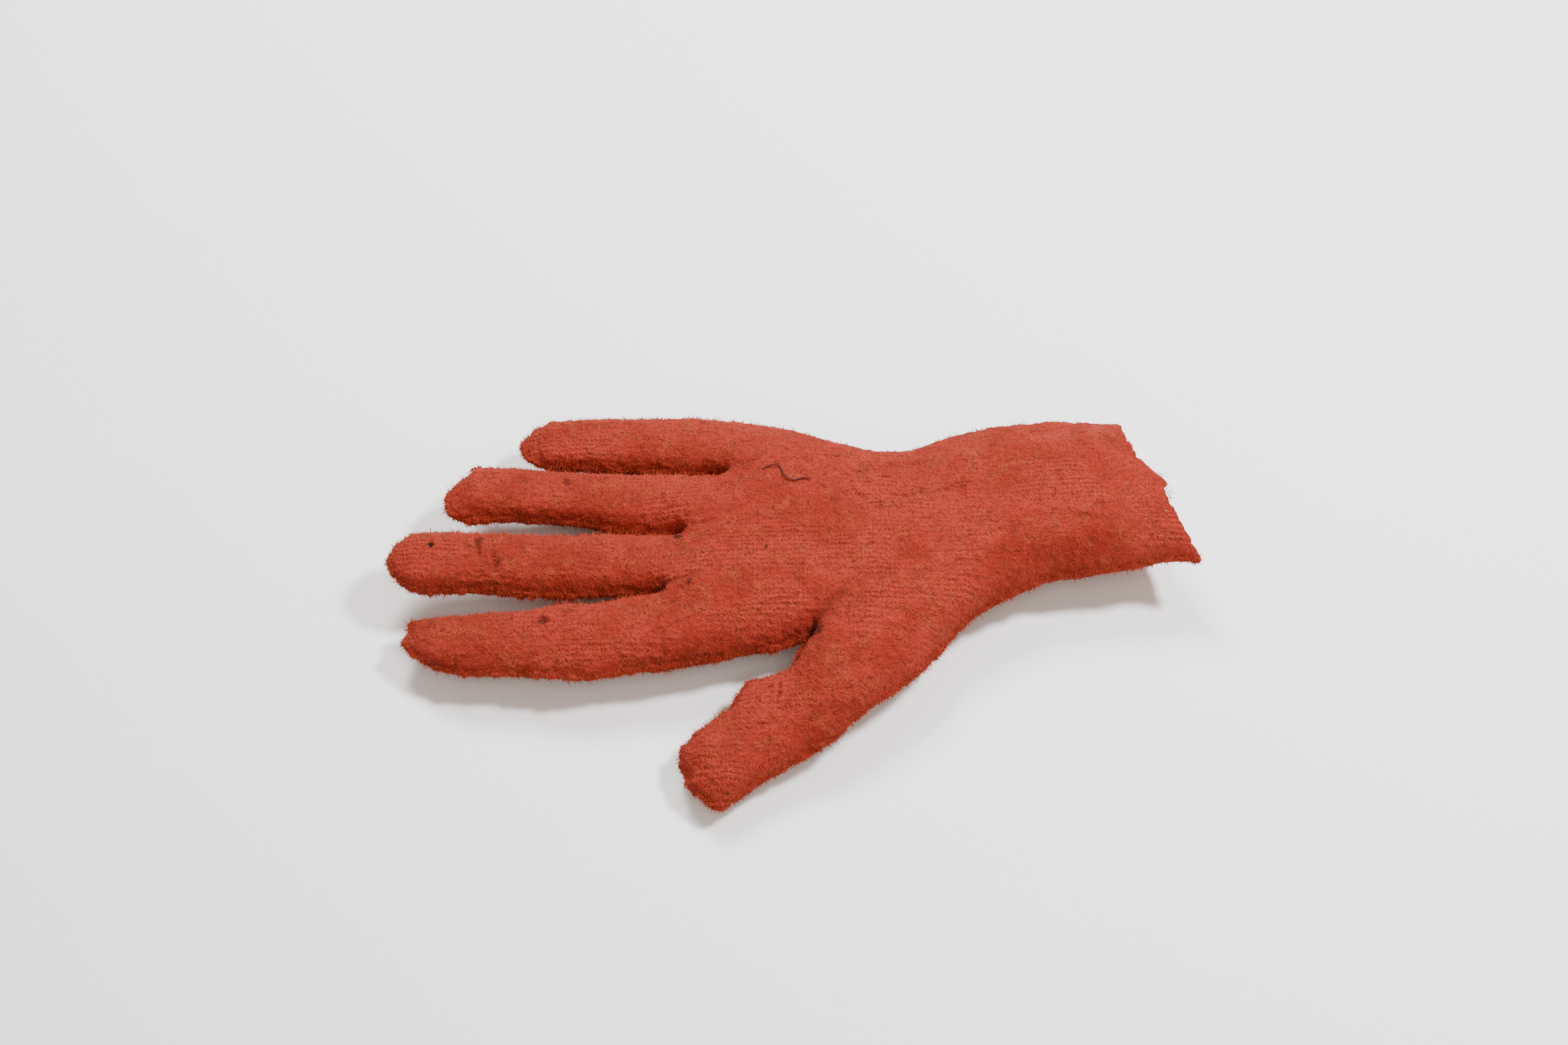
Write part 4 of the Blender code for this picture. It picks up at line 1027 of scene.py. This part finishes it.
def fibre_mesh(roots, leans, lengths, widths, rng):
    """Spikes as arrays: a triangle at the root, a smaller one bent aside past halfway, and a point."""
    count = len(roots)
    leans = leans / np.linalg.norm(leans, axis=1, keepdims=True)
    side = np.cross(leans, rng.normal(size=(count, 3)))
    side /= np.linalg.norm(side, axis=1, keepdims=True)
    other = np.cross(leans, side)
    bend = side * rng.uniform(-0.45, 0.45, (count, 1)) + other * rng.uniform(-0.45, 0.45, (count, 1))
    rings = []
    for share, thick in ((-0.12, 1.0), (0.55, 0.7)):
        middle = roots + leans * (lengths * share)[:, None] + bend * (lengths * share * abs(share))[:, None]
        for corner in range(3):
            angle = 2 * math.pi * corner / 3
            spoke = side * math.cos(angle) + other * math.sin(angle)
            rings.append(middle + spoke * (widths * thick / 2)[:, None])
    tip = roots + leans * (lengths * 0.95)[:, None] + bend * lengths[:, None]
    points = np.stack([*rings, tip], 1).reshape(-1, 3)
    faces = []
    for corner in range(3):
        after = (corner + 1) % 3
        faces += [(corner, after, 3 + after), (corner, 3 + after, 3 + corner), (3 + corner, 3 + after, 6)]
    faces = (np.arange(count)[:, None, None] * 7 + np.array(faces)).reshape(-1, 3)
    return points, faces


def pile_material():
    """Loose fibre: the same dye, seen lighter and more orange than the cloth under it."""
    material, tree, shader = new_material("red_pile")
    colour = lay_knit(tree).outputs["Colour"]
    colour = blend_colour(tree, attribute_value(tree, "tone"), colour, FIBRE_TIP)
    tree.links.new(colour, shader.inputs["Base Color"])
    shader.inputs["Roughness"].default_value = 0.9
    shader.inputs["Specular IOR Level"].default_value = 0.2
    return material


def scatter_fibres():
    """Chooses quads at random, by their nearness to the seam for edge fibres and by their folds for the rest.

    No face fibre stands inside the cuff or in the crook, and no fibre at all under the hand. A fibre leans
    at random off the cloth's normal, and its length is a gamma draw between the shortest and the longest.
    """
    rng = np.random.default_rng(40)
    seam_share = near_seam[cover_quads].mean(1)
    corners = cover_points[cover_quads]
    area = np.linalg.norm(np.cross(corners[:, 2] - corners[:, 0], corners[:, 3] - corners[:, 1]), axis=1)
    outside = corners[..., 0].mean(1) < HOLLOW_BEGINS
    outside |= np.abs(corners[..., 2].mean(1) - seam_at[cover_quads].mean(1)) > 8.0
    outside &= np.linalg.norm(corners[..., :2].mean(1) - CROOK, axis=1) > BARE_CROOK
    high = corners[..., 2].mean(1) > 1.5
    edge_chance = area * seam_share**1.5 * high
    face_chance = area * (1 - seam_share) * outside * high * (0.5 + painted_fold_shade[cover_quads].mean(1))
    chosen = np.concatenate([
        rng.choice(len(cover_quads), EDGE_FIBRES, p=edge_chance / edge_chance.sum()),
        rng.choice(len(cover_quads), FACE_FIBRES, p=face_chance / face_chance.sum()),
    ])
    count = len(chosen)
    mix = rng.dirichlet(np.ones(4), count)
    roots = (cover_points[cover_quads[chosen]] * mix[..., None]).sum(1)
    normals = (cover_normals[cover_quads[chosen]] * mix[..., None]).sum(1)
    leans = normals + rng.normal(size=(count, 3)) * 0.55
    lengths = np.concatenate([rng.gamma(2.0, 0.40, EDGE_FIBRES), rng.gamma(2.2, 0.22, FACE_FIBRES)])
    lengths = np.clip(lengths, SHORTEST_FIBRE, LONGEST_FIBRE)
    widths = rng.uniform(0.12, 0.30, count)
    tone = rng.beta(1.2, 2.0, count)
    return chosen, roots, leans, lengths, widths, tone, rng


pile = pile_material()
chosen, roots, leans, lengths, widths, tones, fibre_rng = scatter_fibres()
for number, (skin_name, bodies, bend, _) in enumerate(stretches):
    mine = quad_owner[chosen] == number
    if not mine.any():
        continue
    points, faces = fibre_mesh(roots[mine], leans[mine], lengths[mine], widths[mine], fibre_rng)
    points[:, 2] = np.maximum(points[:, 2], 0.1)
    fuzz = mesh_object(skin_name.replace("_skin", "_pile"), points, faces, pile, None,
                       {"cloth_place": roots[mine].repeat(7, 0), "tone": tones[mine].repeat(7)})
    follow(fuzz, bodies, bend)

# One loose thread lies on the palm, and grey-brown tufts of wadding catch in the torn edge of the cuff.
THREAD_PLAN = ((-8.3, 42.4), (-6.6, 43.8), (-4.2, 43.9), (-3.0, 41.8), (-2.0, 39.2), (0.6, 37.6), (3.4, 38.4),
               (5.8, 38.2))
THREAD_RADIUS = 0.26
THREAD_RED, TUFT_GREY = (0.10, 0.008, 0.006, 1.0), (0.42, 0.36, 0.28, 1.0)
# Tufts: place, and a third of the number of strands.
TUFTS = ((121.4, 31.0, 5), (118.6, 36.8, 4), (119.5, 27.0, 4))


def swept_tube(line, radius, sides=6):
    """Points and quads of a tube round a line, in rings square to it, with its ends pinched to a point."""
    ahead = np.gradient(line, axis=0)
    ahead /= np.linalg.norm(ahead, axis=1, keepdims=True)
    side = np.cross(ahead, (0, 0, 1))
    side /= np.linalg.norm(side, axis=1, keepdims=True)
    lift = np.cross(side, ahead)
    angle = np.linspace(0, 2 * math.pi, sides, endpoint=False)
    step = np.arange(len(line))
    taper = np.clip(np.minimum(step, step[::-1]) / 2.0, 0.06, 1)[:, None, None]
    angle = angle[None, :, None]
    spokes = side[:, None] * np.cos(angle) + lift[:, None] * np.sin(angle)
    points = (line[:, None] + radius * taper * spokes).reshape(-1, 3)
    index = np.arange(len(line) * sides).reshape(-1, sides)
    after = np.roll(index, -1, 1)
    quads = np.stack([index[:-1], after[:-1], after[1:], index[1:]], -1).reshape(-1, 4)
    return points, quads


def cover_height(x, y):
    """Height of the cover's upper surface at points in plan, from the nearest of its points there."""
    upper = cover_points[(cover_normals[:, 2] > 0.3) & (cover_points[:, 0] > -20)]
    away = [((upper[:, :2] - place) ** 2).sum(1) for place in zip(x, y)]
    return np.array([upper[np.argmin(distance), 2] for distance in away])


def strand_material(name, colour):
    """Thin thread: its colour goes to less than half as bright by fine noise."""
    material, tree, shader = new_material(name)
    mottle = noise_node(tree, object_place(tree), 1500.0, 2.0)
    darker = tuple(0.45 * c for c in colour[:3]) + (1.0,)
    tree.links.new(blend_colour(tree, mottle, colour, darker), shader.inputs["Base Color"])
    shader.inputs["Roughness"].default_value = 0.9
    return material


def lay_thread():
    """The thread follows its plan on a Catmull-Rom curve, half sunk in the pile, and lifts at its bends."""
    plan = smooth_outline(np.array(THREAD_PLAN), 12)[:12 * (len(THREAD_PLAN) - 1)]
    rise = 0.35 + 0.5 * np.sin(np.linspace(0, 2.5 * math.pi, len(plan))) ** 2
    line = np.column_stack([plan, cover_height(*plan.T) + rise])
    for _ in range(4):
        line[1:-1, 2] = (line[:-2, 2] + line[1:-1, 2] + line[2:, 2]) / 3
    strand = strand_material("dark_red_thread", THREAD_RED)
    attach(mesh_object("loose_thread", *swept_tube(line, THREAD_RADIUS), strand), "palm")


def catch_tufts():
    """Each tuft is some short curled strands, rooted on the torn edge, with random headings and curls."""
    rng = np.random.default_rng(7)
    points, quads = [], []
    for x, y, count in TUFTS:
        height = cover_height([x - 2.0], [y])[0]
        for _ in range(count * 3):
            run = np.linspace(0, rng.uniform(2.0, 4.5), 9)
            heading = rng.uniform(-1.2, 1.2)
            curl = rng.uniform(-0.35, 0.35)
            turn = heading + curl * run
            rise = height - 0.6 + rng.uniform(-0.2, 0.5) + 0.2 * np.sin(run * 2)
            plan = np.cumsum(np.column_stack([np.cos(turn), np.sin(turn)]), 0) * run[1] + (x - 2.4, y)
            tube, faces = swept_tube(np.column_stack([plan, rise]), rng.uniform(0.05, 0.10), 4)
            quads.append(faces + sum(map(len, points)))
            points.append(tube)
    strand = strand_material("grey_tuft", TUFT_GREY)
    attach(mesh_object("cuff_tufts", np.concatenate(points), np.concatenate(quads), strand), "palm")


lay_thread()
catch_tufts()
